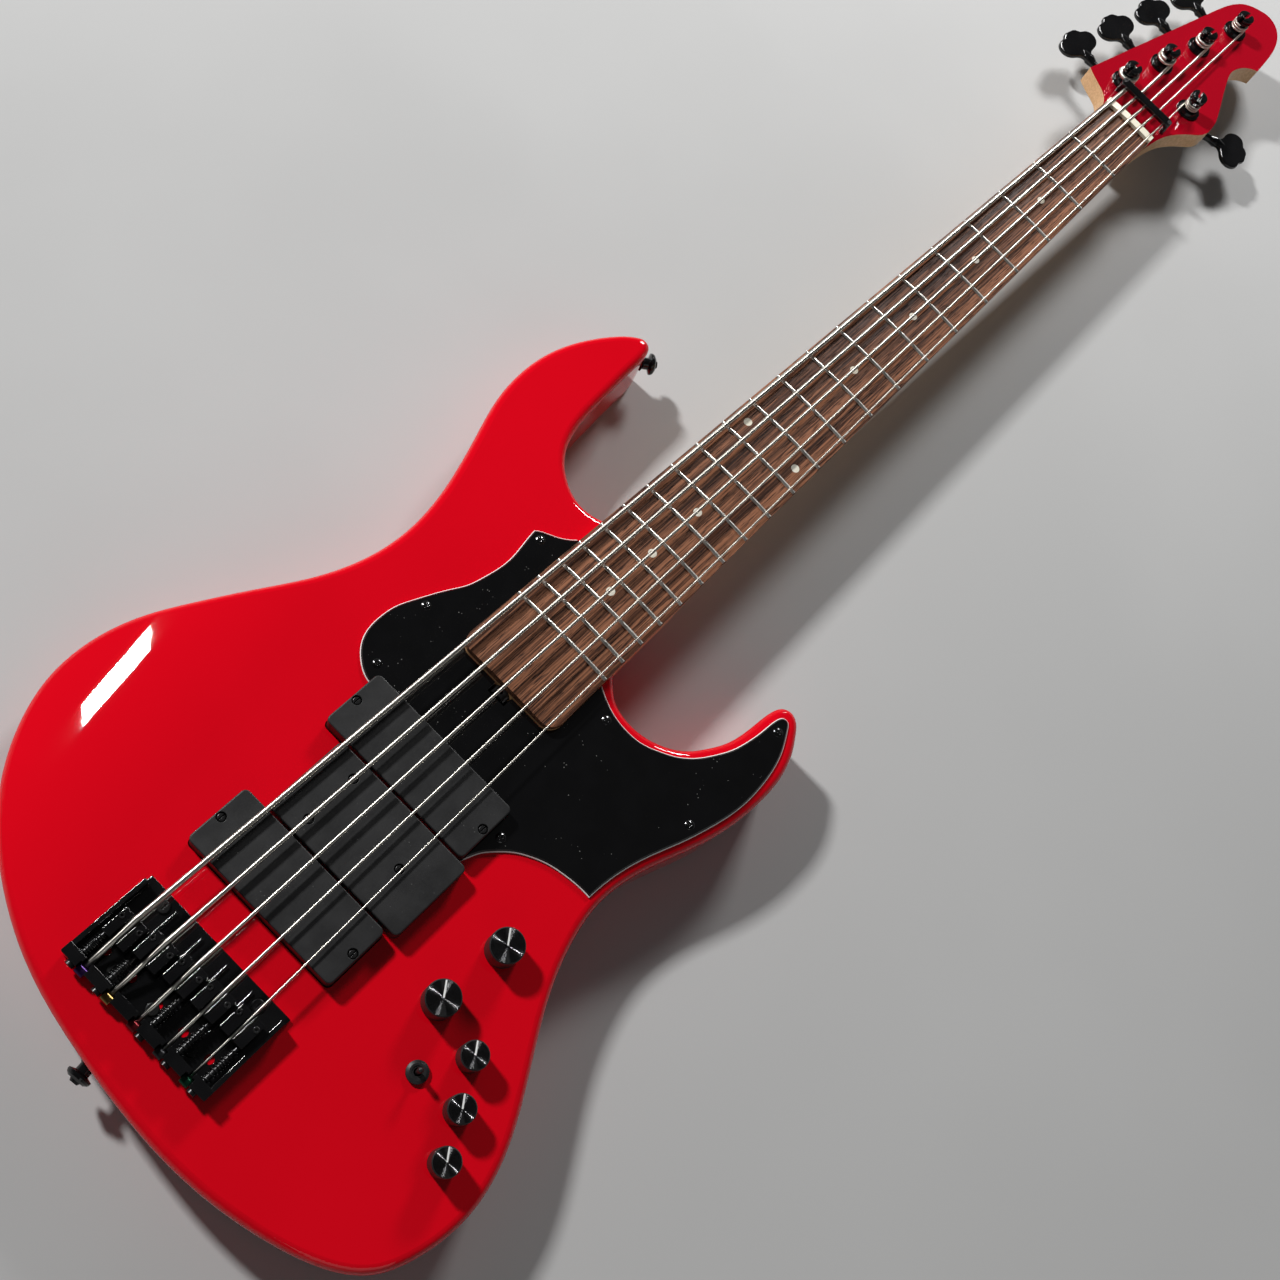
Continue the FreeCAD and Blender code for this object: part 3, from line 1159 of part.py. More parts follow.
def seat_points(before, corner, after, depth):
    """Floor of a string's seat at a bend: points a depth under the bend's start, crown and end."""
    start, end = bend_ends(before, corner, after)
    into = (corner - before).normalize()
    away = (after - corner).normalize()
    crown = corner - (into - away).normalize() * (mm("bend_radius") / math.cos(into.getAngle(away) / 2) - mm("bend_radius"))
    points = []
    for point, way in ((start, into), (crown, into + away), (end, away)):
        below = Vector(way.z, 0, -way.x).normalize() * depth
        points.append(Vector(point.x + below.x, corner.y, point.z + below.z))
    return points


def build_saddles():
    """Saddles with their height screws, and the screws and springs that set them."""
    springs = []
    floor = TOP + mm("plate_thickness")
    for index, gauge in enumerate(GAUGES):
        line = STRING_LINES[index]
        place = SADDLE_PLACES[index]
        path = string_points(index)
        bend = seat_points(*path[:3], mm(gauge) / 2 + mm("string_seat_gap"))
        rest = bend[-1].z
        high = rest + mm("saddle_groove")
        rear = place + mm("saddle_nose") - mm("saddle_length")
        low = TOP + mm("saddle_floor")
        base = Vector(rear, line - mm("saddle_width") / 2, low)
        saddle = Part.makeBox(mm("saddle_length"), mm("saddle_width"), high - low, base)
        saddle = saddle.makeFillet(mm("saddle_ease"), [edge for edge in saddle.Edges if is_upright(edge)])
        wide = mm(gauge) / 2 + mm("groove_room")
        run = path[1] - path[0]
        sink = mm(gauge) / 2 + mm("groove_clear")
        behind = path[1] - run * ((mm("saddle_length") + OVERRUN) / run.x) - Z_AXIS * sink
        front = bend[-1].x + OVERRUN
        corners = [behind] + bend + [Vector(front, line, rest)]
        corners += [Vector(front, line, TOP + high), Vector(behind.x, line, TOP + high)]
        groove = Part.Face(Part.makePolygon(corners + corners[:1])).extrude(Y_AXIS * 2 * wide)
        groove.translate(Y_AXIS * -wide)
        bore_at = Vector(rear - OVERRUN, intonation_line(index), TOP + mm("intonation_level"))
        bore = cylinder(mm("intonation_radius") + mm("running_gap"), mm("intonation_bore_depth") + OVERRUN, bore_at, X_AXIS)
        tools = [groove, bore]
        screws = []
        for side in (1, -1):
            foot = Vector(place - mm("height_screw_place"), line + side * mm("height_screw_offset"), floor + mm("foot_gap"))
            tall = high + mm("height_screw_proud") - foot.z
            tools.append(cylinder(mm("height_screw_radius") + HOLE_GAP, TOP, foot - Z_AXIS * OVERRUN))
            socket = cylinder(mm("height_socket_radius"), OVERRUN, foot + Z_AXIS * (tall - OVERRUN / 2))
            screws.append(cylinder(mm("height_screw_radius"), tall, foot).cut(socket))
        group(f"saddle_{index + 1}", [largest(saddle.cut(tools))] + [screw.Solids[0] for screw in screws])
        build_intonation_screw(index, rear)
        springs.append(spring_solid(index, rear))
    group("intonation_springs", springs)


def build_intonation_screw(index, rear):
    """Screw that turns in the rear wall and draws its saddle along the strings."""
    start = Vector(-mm("bridge_back"), intonation_line(index), TOP + mm("intonation_level"))
    length = rear + mm("intonation_engaged") - start.x
    shank = cylinder(mm("intonation_radius"), length, start, X_AXIS)
    head_at = start - X_AXIS * mm("intonation_head_height")
    head = cylinder(mm("intonation_head_radius"), mm("intonation_head_height"), head_at, X_AXIS)
    wide = mm("intonation_radius") / 2
    slot = Part.makeBox(mm("intonation_head_height"), 2 * mm("intonation_head_radius"), wide,
                        head_at - Vector(mm("intonation_head_height") / 2, mm("intonation_head_radius"), wide / 2))
    name = f"intonation_screw_{index + 1}"
    node(name, feature(name, shank.fuse(head).cut(slot).Solids[0]))


def biarc(start, start_way, end, end_way):
    """Two arcs that join two points with given directions."""
    chord = end - start
    both = start_way + end_way
    square = 2 * (1 - start_way.dot(end_way))
    linear = 2 * chord.dot(both)
    reach = (-linear + math.sqrt(linear ** 2 + 4 * square * chord.dot(chord))) / (2 * square)
    near = start + start_way * reach
    far = end - end_way * reach
    joint = (near + far) * 0.5
    return [tangent_arc(start, near, joint), tangent_arc(joint, far, end)]


def tangent_arc(start, corner, end):
    """Arc from start to end that touches the two equal runs to a corner."""
    middle = (start + end) * 0.5
    share = (end - start).Length / (2 * (corner - start).Length)
    crown = middle + (corner - middle) * (share / (1 + share))
    return Part.Arc(start, crown, end).toShape()


def coil_edges(points, ways):
    """Biarcs through the quarter points of a coil."""
    edges = []
    for index in range(len(points) - 1):
        edges += biarc(points[index], ways[index], points[index + 1], ways[index + 1])
    return edges


def tube(edges, radius, start, way):
    """Round tube along a path."""
    ring = Part.Wire([Part.Circle(start, way, radius).toShape()])
    return Part.Wire(edges).makePipeShell([ring], True, False)


def least_gap(edges, width, turn_length):
    """Least gap between parts of a tube that lie over half a turn apart along it."""
    path = Part.Wire(edges)
    points = path.discretize(Number=max(60, int(path.Length / width * 2)))
    step = path.Length / (len(points) - 1)
    skip = int(turn_length * 0.6 / step) + 1
    pairs = ((a, b) for i, a in enumerate(points) for b in points[i + skip:])
    return min((a - b).Length for a, b in pairs) - width


def spring_solid(index, rear):
    """Compression spring on an intonation screw, from the rear wall to its saddle."""
    wire = mm("spring_wire")
    radius = mm("spring_radius")
    margin = wire / 2 + mm("spring_end_gap")
    start = mm("rear_wall") - mm("bridge_back") + margin
    pitch = (rear - margin - start) / SPRING_TURNS
    centre = Vector(start, intonation_line(index), TOP + mm("intonation_level"))
    points = []
    ways = []
    for quarter in range(4 * SPRING_TURNS + 1):
        angle = quarter * math.pi / 2
        points.append(centre + Vector(pitch * quarter / 4, radius * math.cos(angle), radius * math.sin(angle)))
        rate = pitch / (2 * math.pi)
        ways.append(Vector(rate, -radius * math.sin(angle), radius * math.cos(angle)).normalize())
    edges = coil_edges(points, ways)
    print(f"spring {index + 1}: least gap {least_gap(edges, wire, 2 * math.pi * radius):.2f}")
    return tube(edges, wire / 2, points[0], ways[0]).Solids[0]


def winding_radius(index):
    """Radius of a string's centre line round its post."""
    return mm("post_waist_radius") + mm("winding_gap") + mm(GAUGES[index]) / 2


def string_points(index):
    """Corner points of a string: tail, saddle, nut, retainer, a point before the post, and the post."""
    radius = mm(GAUGES[index]) / 2
    line = STRING_LINES[index]
    nut_line = NUT_LINES[index]
    fret_top = BOARD_TOP + mm("fret_height")
    tail = Vector(mm("rear_wall") - mm("bridge_wall") - mm("bridge_back"), line, TOP + mm("ball_level"))
    saddle_level = fret_top + mm("saddle_lift") - crown_drop(line) + radius
    saddle = Vector(SADDLE_PLACES[index], line, saddle_level)
    nut_level = fret_top + mm("nut_lift") - crown_drop(nut_line) + radius
    nut = Vector(mm("scale_length") + mm("nut_thickness") / 2, nut_line, nut_level)
    post = POSTS[index]
    winding = winding_radius(index)
    side = -1 if index < len(GAUGES) - 1 else 1
    run = Vector(post.x - nut.x, post.y - nut.y, 0)
    heading = math.atan2(run.y, run.x) + side * math.asin(winding / run.Length)
    way = Vector(math.cos(heading), math.sin(heading), 0)
    reach = math.sqrt(run.Length ** 2 - winding ** 2)
    low = HEAD_FACE + mm("bushing_flange_height") + mm("bushing_nut_height") + mm("winding_gap") + radius
    touch = Vector(nut.x, nut.y, low) + way * reach
    rate = (mm(GAUGES[index]) + mm("turn_gap")) / (2 * math.pi * winding)
    before = touch - (way + Z_AXIS * rate) * winding
    bar = nut + way * ((RETAINER_CENTRE.x - mm("retainer_lead") - nut.x) / way.x)
    bar.z = HEAD_FACE + mm("retainer_level") - mm("retainer_gap") - radius
    return [tail, saddle, nut, bar, before, touch]


def bend_ends(before, corner, after):
    """Points where a string's bend at a corner leaves its two straight runs."""
    to_corner = corner - before
    from_corner = after - corner
    turn = to_corner.getAngle(from_corner)
    shorter = min(to_corner.Length, from_corner.Length)
    reach = min(mm("bend_radius") * math.tan(turn / 2), BEND_SHARE * shorter)
    return corner - to_corner.normalize() * reach, corner + from_corner.normalize() * reach


def string_solid(index):
    """One string: straight runs with bends at the saddle, nut and retainer, then its turns on the post."""
    corners = string_points(index)
    edges = []
    last = corners[0]
    for before, corner, after in zip(corners, corners[1:], corners[2:]):
        start, end = bend_ends(before, corner, after)
        edges += [Part.makeLine(last, start), tangent_arc(start, corner, end)]
        last = end
    edges.append(Part.makeLine(last, corners[-1]))
    centre = POSTS[index]
    winding = winding_radius(index)
    spin = 1 if index < len(GAUGES) - 1 else -1
    pitch = mm(GAUGES[index]) + mm("turn_gap")
    first = math.atan2(corners[-1].y - centre.y, corners[-1].x - centre.x)
    points = []
    ways = []
    for quarter in range(TURN_QUARTERS[index] + 1):
        angle = first + spin * quarter * math.pi / 2
        points.append(Vector(centre.x + winding * math.cos(angle), centre.y + winding * math.sin(angle),
                             corners[-1].z + pitch * quarter / 4))
        flat = Vector(-math.sin(angle), math.cos(angle), 0) * spin * winding
        ways.append((flat + Z_AXIS * pitch / (2 * math.pi)).normalize())
    coil = coil_edges(points, ways)
    gap = least_gap(coil, mm(GAUGES[index]), 2 * math.pi * winding)
    solid = tube(edges + coil, mm(GAUGES[index]) / 2, corners[0], corners[1] - corners[0])
    section = math.pi * mm(GAUGES[index]) ** 2 / 4
    length = Part.Wire(edges + coil).Length
    print(f"string {index + 1}: least gap {gap:.2f}, volume share {solid.Volume / (section * length):.4f}")
    return solid.Solids[0]


def build_strings():
    """Strings and the ball ends that anchor them."""
    group("strings", [string_solid(index) for index in range(len(GAUGES))])
    balls = []
    for index in range(len(GAUGES)):
        tail = string_points(index)[0]
        base = Vector(tail.x - mm("ball_radius") - mm("ball_gap"), tail.y - mm("ball_length") / 2, tail.z)
        ball = cylinder(mm("ball_radius"), mm("ball_length"), base, Y_AXIS)
        balls.append(ball.makeFillet(mm("ball_room"), ball.Edges).Solids[0])
    group("string_ball_ends", balls)


RETAINER_CENTRE = Vector(mm("scale_length") + mm("retainer_place"), 0, HEAD_FACE + mm("retainer_level"))
RETAINER_SHIFT_SHARE = 0.025
RETAINER_TURN = Rotation(Z_AXIS, -mm("retainer_skew"))
RETAINER_REACH = mm("retainer_length") / 2 - mm("retainer_post_radius") - mm("hole_gap")
RETAINER_MIDDLE = RETAINER_CENTRE + Y_AXIS * (RETAINER_SHIFT_SHARE * mm("retainer_length"))
RETAINER_ENDS = [
    RETAINER_MIDDLE + RETAINER_TURN.multVec(Y_AXIS * side * RETAINER_REACH) for side in (1, -1)
]


def build_retainer():
    """Bar that holds the strings down behind the nut, on two spacers."""
    bar_at = ("-retainer_width / 2", "-retainer_length / 2", "0")
    bar = block("retainer_bar", bar_at, ("retainer_width", "retainer_length", "retainer_height"))
    shape = built(bar)
    rounds = [edge for edge in shape.Edges if is_upright(edge)]
    shape = shape.makeFillet(mm("retainer_width") / 2 - HOLE_GAP, rounds)
    crest = [edge for edge in shape.Edges if min(v.Z for v in edge.Vertexes) > mm("retainer_height") / 2]
    shape = shape.makeFillet(mm("retainer_height") / 3, crest)
    under = [edge for edge in shape.Edges if max(v.Z for v in edge.Vertexes) < HOLE_GAP]
    shape = shape.makeFillet(mm("retainer_round"), under)
    bar_place = Placement(RETAINER_MIDDLE, RETAINER_TURN)
    solid = moved(shape, bar_place)
    for end in RETAINER_ENDS:
        foot = end - Z_AXIS * mm("retainer_level")
        tall = mm("retainer_level") + mm("retainer_round")
        solid = solid.fuse(cylinder(mm("retainer_post_radius"), tall, foot))
    high = HEAD_FACE + mm("retainer_level") + mm("retainer_height")
    sink = mm("retainer_head_height")
    tools = pilots(RETAINER_ENDS, "retainer_screw_radius", HEAD_FACE - OVERRUN, high + OVERRUN)
    tools += pilots(RETAINER_ENDS, "retainer_head_radius", high - sink, high + OVERRUN)
    node("string_retainer", feature("string_retainer", solid.cut(tools).Solids[0]))


# Tuner frame: local Z up the post, local X to the worm, local Y out along the key's shaft
GEAR_RADIUS = mm("gear_teeth") * mm("worm_lead") / (2 * math.pi)
WORM_PLACE = GEAR_RADIUS + mm("worm_pitch_radius")
WORM_LEVEL = -mm("head_thickness") - mm("worm_drop")
TUNER_TURNS = [-mm("tuner_turn")] * 4 + [mm("treble_tuner_turn")]
TUNER_PLACEMENTS = [Placement(post, Rotation(Z_AXIS, turn)) for post, turn in zip(POSTS, TUNER_TURNS)]
TUNER_SCREWS = [
    Vector(along, side * (mm("base_width") / 2 - mm("tuner_screw_margin")), 0)
    for along in (mm("tuner_screw_margin") - mm("base_reach"), WORM_PLACE + mm("base_margin") - mm("tuner_screw_margin"))
    for side in (1, -1)
]


def gear_shape():
    """Gear with straight teeth, a tooth gap on the line to the worm."""
    root = GEAR_RADIUS - mm("tooth_root_reach")
    tip = GEAR_RADIUS + mm("tooth_tip_reach")
    low = Z_AXIS * (WORM_LEVEL - mm("gear_thickness") / 2)
    wheel = cylinder(root, mm("gear_thickness"), low)
    teeth = []
    count = int(mm("gear_teeth"))
    for number in range(count):
        corners = [Vector(root - HOLE_GAP * 4, -mm("tooth_root_width") / 2), Vector(tip, -mm("tooth_tip_width") / 2)]
        corners += [Vector(tip, mm("tooth_tip_width") / 2), Vector(root - HOLE_GAP * 4, mm("tooth_root_width") / 2)]
        tooth = Part.Face(Part.makePolygon(corners + corners[:1])).extrude(Z_AXIS * mm("gear_thickness"))
        tooth.Placement = Placement(low, Rotation(Z_AXIS, (number + 0.5) * 360 / count))
        teeth.append(tooth)
    return wheel.fuse(teeth)


def post_shape():
    """String post with its slot, collars and gear, in the tuner's frame."""
    foot = WORM_LEVEL - mm("gear_thickness") / 2
    seat = mm("bushing_flange_height") + mm("bushing_nut_height")
    high = mm("post_height") - mm("post_cap_height")
    lower = high - 2 * mm("post_collar_height") - mm("post_groove_height")
    pieces = [cylinder(mm("post_waist_radius"), lower - seat + OVERRUN, Z_AXIS * (seat - OVERRUN))]
    collar = mm("post_collar_height")
    pieces.append(cylinder(mm("post_collar_radius"), collar, Z_AXIS * lower))
    pieces.append(cylinder(mm("post_groove_radius"), mm("post_groove_height"), Z_AXIS * (lower + collar)))
    pieces.append(cylinder(mm("post_collar_radius"), collar, Z_AXIS * (high - collar)))
    pieces.append(cylinder(mm("post_cap_radius"), mm("post_cap_height"), Z_AXIS * high))
    pieces.append(gear_shape())
    pieces.append(cylinder(mm("gear_screw_radius"), mm("gear_screw_height"), Z_AXIS * (foot - mm("gear_screw_height"))))
    solid = cylinder(mm("post_radius"), seat - foot, Z_AXIS * foot).fuse(pieces)
    slot = Part.makeBox(4 * mm("post_collar_radius"), mm("post_slot_width"), mm("post_slot_depth") + OVERRUN,
                        Vector(-2 * mm("post_collar_radius"), -mm("post_slot_width") / 2,
                               mm("post_height") - mm("post_slot_depth")))
    bore = cylinder(mm("post_bore_radius"), 2 * mm("post_slot_depth"), Z_AXIS * (mm("post_height") - 2 * mm("post_slot_depth") + OVERRUN))
    screw_slot = Part.makeBox(2 * mm("gear_screw_radius"), mm("post_cap_height"), mm("gear_screw_height") / 2,
                              Vector(-mm("gear_screw_radius"), -mm("post_cap_height") / 2, foot - mm("gear_screw_height")))
    return solid.cut([slot, bore, screw_slot]).Solids[0]


def worm_thread():
    """Helical thread round the local Z axis, centred on the origin."""
    lead = mm("worm_lead")
    length = mm("thread_turns") * lead
    inner = mm("worm_core_radius") - mm("thread_sink")
    outer = mm("worm_tip_radius")
    path = Part.Wire(Part.makeHelix(lead, length, inner))
    root = mm("thread_root") / 2
    tip = mm("thread_tip") / 2
    corners = [Vector(inner, 0, -root), Vector(outer, 0, -tip), Vector(outer, 0, tip), Vector(inner, 0, root)]
    thread = path.makePipeShell([Part.makePolygon(corners + corners[:1])], True, True)
    thread.translate(Z_AXIS * -length / 2)
    return thread


def key_plate():
    """Flat clover-shaped key in the XY plane, its stem at the origin and its height along +Y."""
    half = mm("key_width") / 2
    tall = mm("key_height")
    right = [Vector(across * half, up * tall) for across, up in KEY_SHARES]
    left = [Vector(-point.x, point.y) for point in reversed(right)]
    top = [Vector(0, tall)]
    edge = curve(right + top + left)
    base = Part.makeLine(left[-1], right[0])
    plate = Part.Face(Part.Wire(Part.__sortEdges__([edge, base]))).extrude(Z_AXIS * mm("key_thickness"))
    plate.translate(Z_AXIS * -mm("key_thickness") / 2)
    rims = [item for item in plate.Edges if not is_upright(item) and item.Curve.TypeId != "Part::GeomLine"]
    return plate.makeFillet(mm("key_round"), rims)


def key_shape(roll):
    """Worm, shaft and clover key along local Y, in the tuner's frame."""
    inner = mm("lug_inner") - mm("winding_gap")
    outer = mm("lug_inner") + mm("lug_thickness") + mm("winding_gap")
    start = mm("key_reach") - mm("key_height") / 2
    core = cylinder(mm("worm_core_radius"), 2 * inner, Z_AXIS * -inner)
    pieces = [cylinder(mm("journal_radius"), 2 * outer, Z_AXIS * -outer)]
    pieces.append(cylinder(mm("shaft_radius"), start - outer, Z_AXIS * outer))
    stem = Part.makeCone(mm("shaft_radius"), mm("key_stem_radius"), mm("key_stem") / 2, Z_AXIS * (start - mm("key_stem") / 2))
    point = Part.makeCone(mm("key_stem_radius"), mm("key_round"), mm("key_stem"), Z_AXIS * start)
    solid = core.fuse(pieces + [stem, point])
    plate = key_plate()
    plate.Placement = Placement(Z_AXIS * start, Rotation(X_AXIS, 90))
    plate.rotate(Vector(), Z_AXIS, roll)
    solid = solid.fuse(plate)
    thread = worm_thread()
    thread.rotate(Vector(), Z_AXIS, 180)
    return solid.fuse(thread).Solids[0]


def build_tuners():
    """Bushings, housings, posts with gears, and keys with worms."""
    bushing = built(bushing_object())
    housing = housing_shape()
    post = post_shape()
    group("tuner_bushings", [moved(bushing, place).Solids[0] for place in TUNER_PLACEMENTS])
    group("tuner_housings", [moved(housing, place).Solids[0] for place in TUNER_PLACEMENTS])
    straight = key_shape(0)
    rolled = key_shape(mm("treble_key_roll"))
    for index, place in enumerate(TUNER_PLACEMENTS):
        name = f"tuner_post_{index + 1}"
        node(name, feature(name, moved(post, place).Solids[0]))
        treble = index == len(TUNER_PLACEMENTS) - 1
        lie = Rotation(X_AXIS, 90 if treble else -90)
        seat = Placement(Vector(WORM_PLACE, 0, WORM_LEVEL), lie)
        name = f"tuner_key_{index + 1}"
        node(name, feature(name, moved(rolled if treble else straight, place.multiply(seat)).Solids[0]))


def bushing_object():
    """Threaded bushing with a washer and a round nut, in the tuner's frame."""
    nut_at = ("0", "0", "bushing_flange_height")
    flange = rod("bushing_flange", "bushing_flange_radius", "bushing_flange_height")
    nut = taper("bushing_nut", "bushing_nut_radius", "bushing_nut_radius - bushing_flange_height / 2",
                "bushing_nut_height", nut_at)
    sleeve = rod("bushing_sleeve", "bushing_sleeve_radius", "head_thickness", ("0", "0", "-head_thickness"))
    bore = rod("bushing_bore", "post_radius + running_gap", "3 * head_thickness", ("0", "0", "-2 * head_thickness"))
    return cut("bushing", fuse("bushing_whole", flange, nut, sleeve), bore)


def housing_shape():
    """Base plate under the headstock with two lugs that carry the worm, in the tuner's frame."""
    high = -mm("head_thickness")
    low = high - mm("base_thickness")
    length = mm("base_reach") + WORM_PLACE + mm("base_margin")
    width = mm("base_width")
    plate = Part.makeBox(length, width, mm("base_thickness"), Vector(-mm("base_reach"), -width / 2, low))
    plate = plate.makeFillet(mm("base_corner"), [edge for edge in plate.Edges if is_upright(edge)])
    foot = WORM_LEVEL - mm("lug_below")
    lugs = []
    for side in (0, 1):
        line = mm("lug_inner") if side else -mm("lug_inner") - mm("lug_thickness")
        corner = Vector(WORM_PLACE - mm("lug_width") / 2, line, foot)
        lugs.append(Part.makeBox(mm("lug_width"), mm("lug_thickness"), low + HOLE_GAP - foot, corner))
    bore = cylinder(mm("journal_radius") + mm("running_gap"), 2 * width, Vector(WORM_PLACE, -width, WORM_LEVEL), Y_AXIS)
    hole = cylinder(mm("post_radius") + mm("winding_gap"), TOP, Z_AXIS * (low - TOP / 2))
    tools = [bore, hole] + pilots(TUNER_SCREWS, "tuner_screw_radius", low - OVERRUN, high + OVERRUN)
    return plate.fuse(lugs).cut(tools).Solids[0]


def build_headstock_screws():
    """Screws of the tuner plates, from below, and of the retainer, from above."""
    head = rod("plate_screw_head", "tuner_head_radius", "tuner_head_height", ("0", "0", "-base_thickness - tuner_head_height"))
    shank = rod("plate_screw_shank", "tuner_screw_radius", "tuner_screw_length + base_thickness", ("0", "0", "-base_thickness"))
    slot = block("plate_screw_slot", ("-tuner_head_radius", "-tuner_screw_radius / 4", "-base_thickness - 2 * tuner_head_height"),
                 ("2 * tuner_head_radius", "tuner_screw_radius / 2", "1.5 * tuner_head_height"))
    screw = built(cut("plate_screw", fuse("plate_screw_whole", head, shank), slot))
    back = Z_AXIS * mm("head_thickness")
    solids = []
    for place in TUNER_PLACEMENTS:
        for point in TUNER_SCREWS:
            solids.append(moved(screw, place.multiply(Placement(point - back, Rotation()))).Solids[0])
    head = rod("bar_screw_head", "retainer_head_radius", "retainer_head_height")
    shank = rod("bar_screw_shank", "retainer_screw_radius", "retainer_screw_length", ("0", "0", "-retainer_screw_length"))
    slot = block("bar_screw_slot", ("-retainer_head_radius", "-retainer_screw_radius / 4", "retainer_head_height / 2"),
                 ("2 * retainer_head_radius", "retainer_screw_radius / 2", "retainer_head_height"))
    screw = built(cut("bar_screw", fuse("bar_screw_whole", head, shank), slot))
    seat = Z_AXIS * (mm("retainer_height") - mm("retainer_head_height"))
    for end in RETAINER_ENDS:
        solids.append(moved(screw, Placement(end + seat, RETAINER_TURN)).Solids[0])
    group("headstock_screws", solids)


def build_controls():
    """Potentiometers and knobs, toggle switch, preamp, battery and the cover over them."""
    can = rod("pot_can", "pot_radius", "pot_height", ("0", "0", "-pot_height"))
    bushing = rod("pot_bushing", "pot_bushing_radius", "pot_bushing_height")
    bore = rod("pot_bore", "pot_shaft_radius + running_gap", "3 * pot_bushing_height", ("0", "0", "-pot_shaft_sink"))
    pot = built(cut("pot", fuse("pot_whole", can, bushing), bore))
    ring = rod("pot_nut_ring", "pot_nut_radius", "pot_nut_height", ("0", "0", "control_top"))
    hole = rod("pot_nut_hole", "pot_bushing_radius + hole_gap", "3 * pot_nut_height", ("0", "0", "control_top - pot_nut_height"))
    nut = built(cut("pot_nut", ring, hole))
    solids = []
    for name, radius, share in KNOB_SHARES:
        place = Placement(on_body(share, CAVITY_ROOF), Rotation())
        solids += [moved(pot, place).Solids[0], moved(nut, place).Solids[0]]
        group(name, knob_solids(radius, on_body(share, TOP)))
    group("potentiometers", solids)
    build_switch()
    build_bay()


def knob_solids(radius, base):
    """Knob with a hollow skirt, its white pointer and the shaft that it turns."""
    wide = mm(radius)
    low = base + Z_AXIS * mm("knob_lift")
    tall = mm("knob_height") - mm("knob_lift")
    knob = cylinder(wide, tall, low)
    top_edge = [edge for edge in knob.Edges if edge.CenterOfMass.z > base.z + mm("knob_height") / 2 and edge.Closed
                and len(edge.Vertexes) == 1]
    knob = knob.makeChamfer(mm("knob_ease"), top_edge)
    skirt = cylinder(wide - mm("knob_wall"), mm("knob_skirt"), base)
    shaft_foot = base - Z_AXIS * (mm("control_top") + mm("pot_shaft_sink") - mm("running_gap"))
    shaft_top = base.z + mm("pot_bushing_height") + mm("knob_skirt") - mm("control_top")
    bushing_room = cylinder(mm("pot_bushing_radius") + mm("guard_gap"), mm("pot_bushing_height") - mm("control_top") + mm("guard_gap"), base)
    shaft = cylinder(mm("pot_shaft_radius"), shaft_top - shaft_foot.z, shaft_foot)
    deep = mm("pointer_depth")
    top = base + Z_AXIS * (mm("knob_height") - deep)
    length = wide - mm("knob_ease")
    pointer = Part.makeBox(length, mm("pointer_width"), deep, Vector(0, -mm("pointer_width") / 2, 0))
    pointer.Placement = Placement(top, Rotation(Z_AXIS, mm("pointer_angle"))).multiply(pointer.Placement)
    knob = knob.cut([skirt, bushing_room, shaft, pointer])
    return [largest(knob), shaft, pointer]


def build_switch():
    """Toggle switch under the face, its nut, and the lever."""
    can = block("switch_can", ("-switch_length / 2", "-switch_width / 2", "-switch_height"),
                ("switch_length", "switch_width", "switch_height"))
    bushing = rod("switch_bushing", "switch_bushing_radius", "switch_bushing_height")
    bore_at = ("0", "0", "control_top - lever_pivot_sink - 2 * lever_ball_radius")
    bore = rod("switch_bore", "switch_bore_radius", "4 * switch_bushing_height", bore_at)
    ear_at = ("0", "-switch_nut_radius", "control_top - lever_pivot_sink")
    ears = rod("switch_ears", "lever_pin_radius + running_gap", "2 * switch_nut_radius", ear_at, "y")
    case = built(cut("switch_case", fuse("switch_whole", can, bushing), bore, ears))
    ring = rod("switch_ring", "switch_nut_radius", "switch_nut_height - switch_nut_ease", ("0", "0", "control_top"))
    crown = taper("switch_crown", "switch_nut_radius", "switch_nut_radius - 2 * switch_nut_ease", "switch_nut_ease",
                  ("0", "0", "control_top + switch_nut_height - switch_nut_ease"))
    hole = rod("switch_nut_hole", "switch_bushing_radius + hole_gap", "4 * switch_nut_height", ("0", "0", "control_top - switch_nut_height"))
    nut = built(cut("switch_nut", fuse("switch_nut_whole", ring, crown), hole))
    place = Placement(on_body(SWITCH_SHARE, CAVITY_ROOF), Rotation())
    group("toggle_switch", [moved(case, place).Solids[0], moved(nut, place).Solids[0]])
    pivot = on_body(SWITCH_SHARE, TOP - mm("lever_pivot_sink"))
    ball = Part.makeSphere(mm("lever_ball_radius"), Vector(), Y_AXIS)
    ball.translate(pivot)
    stem = Part.makeCone(mm("lever_radius"), mm("lever_tip_radius"), mm("lever_height"), pivot)
    top = pivot + Z_AXIS * mm("lever_height")
    tip = Part.makeSphere(mm("lever_tip_radius"), top, Z_AXIS, -mm("lever_tip_angle"), mm("lever_tip_angle"))
    half = Y_AXIS * (mm("lever_pin_length") / 2)
    pin = cylinder(mm("lever_pin_radius"), mm("lever_pin_length"), pivot - half, Y_AXIS)
    node("toggle_lever", feature("toggle_lever", ball.fuse([stem, tip, pin]).Solids[0]))


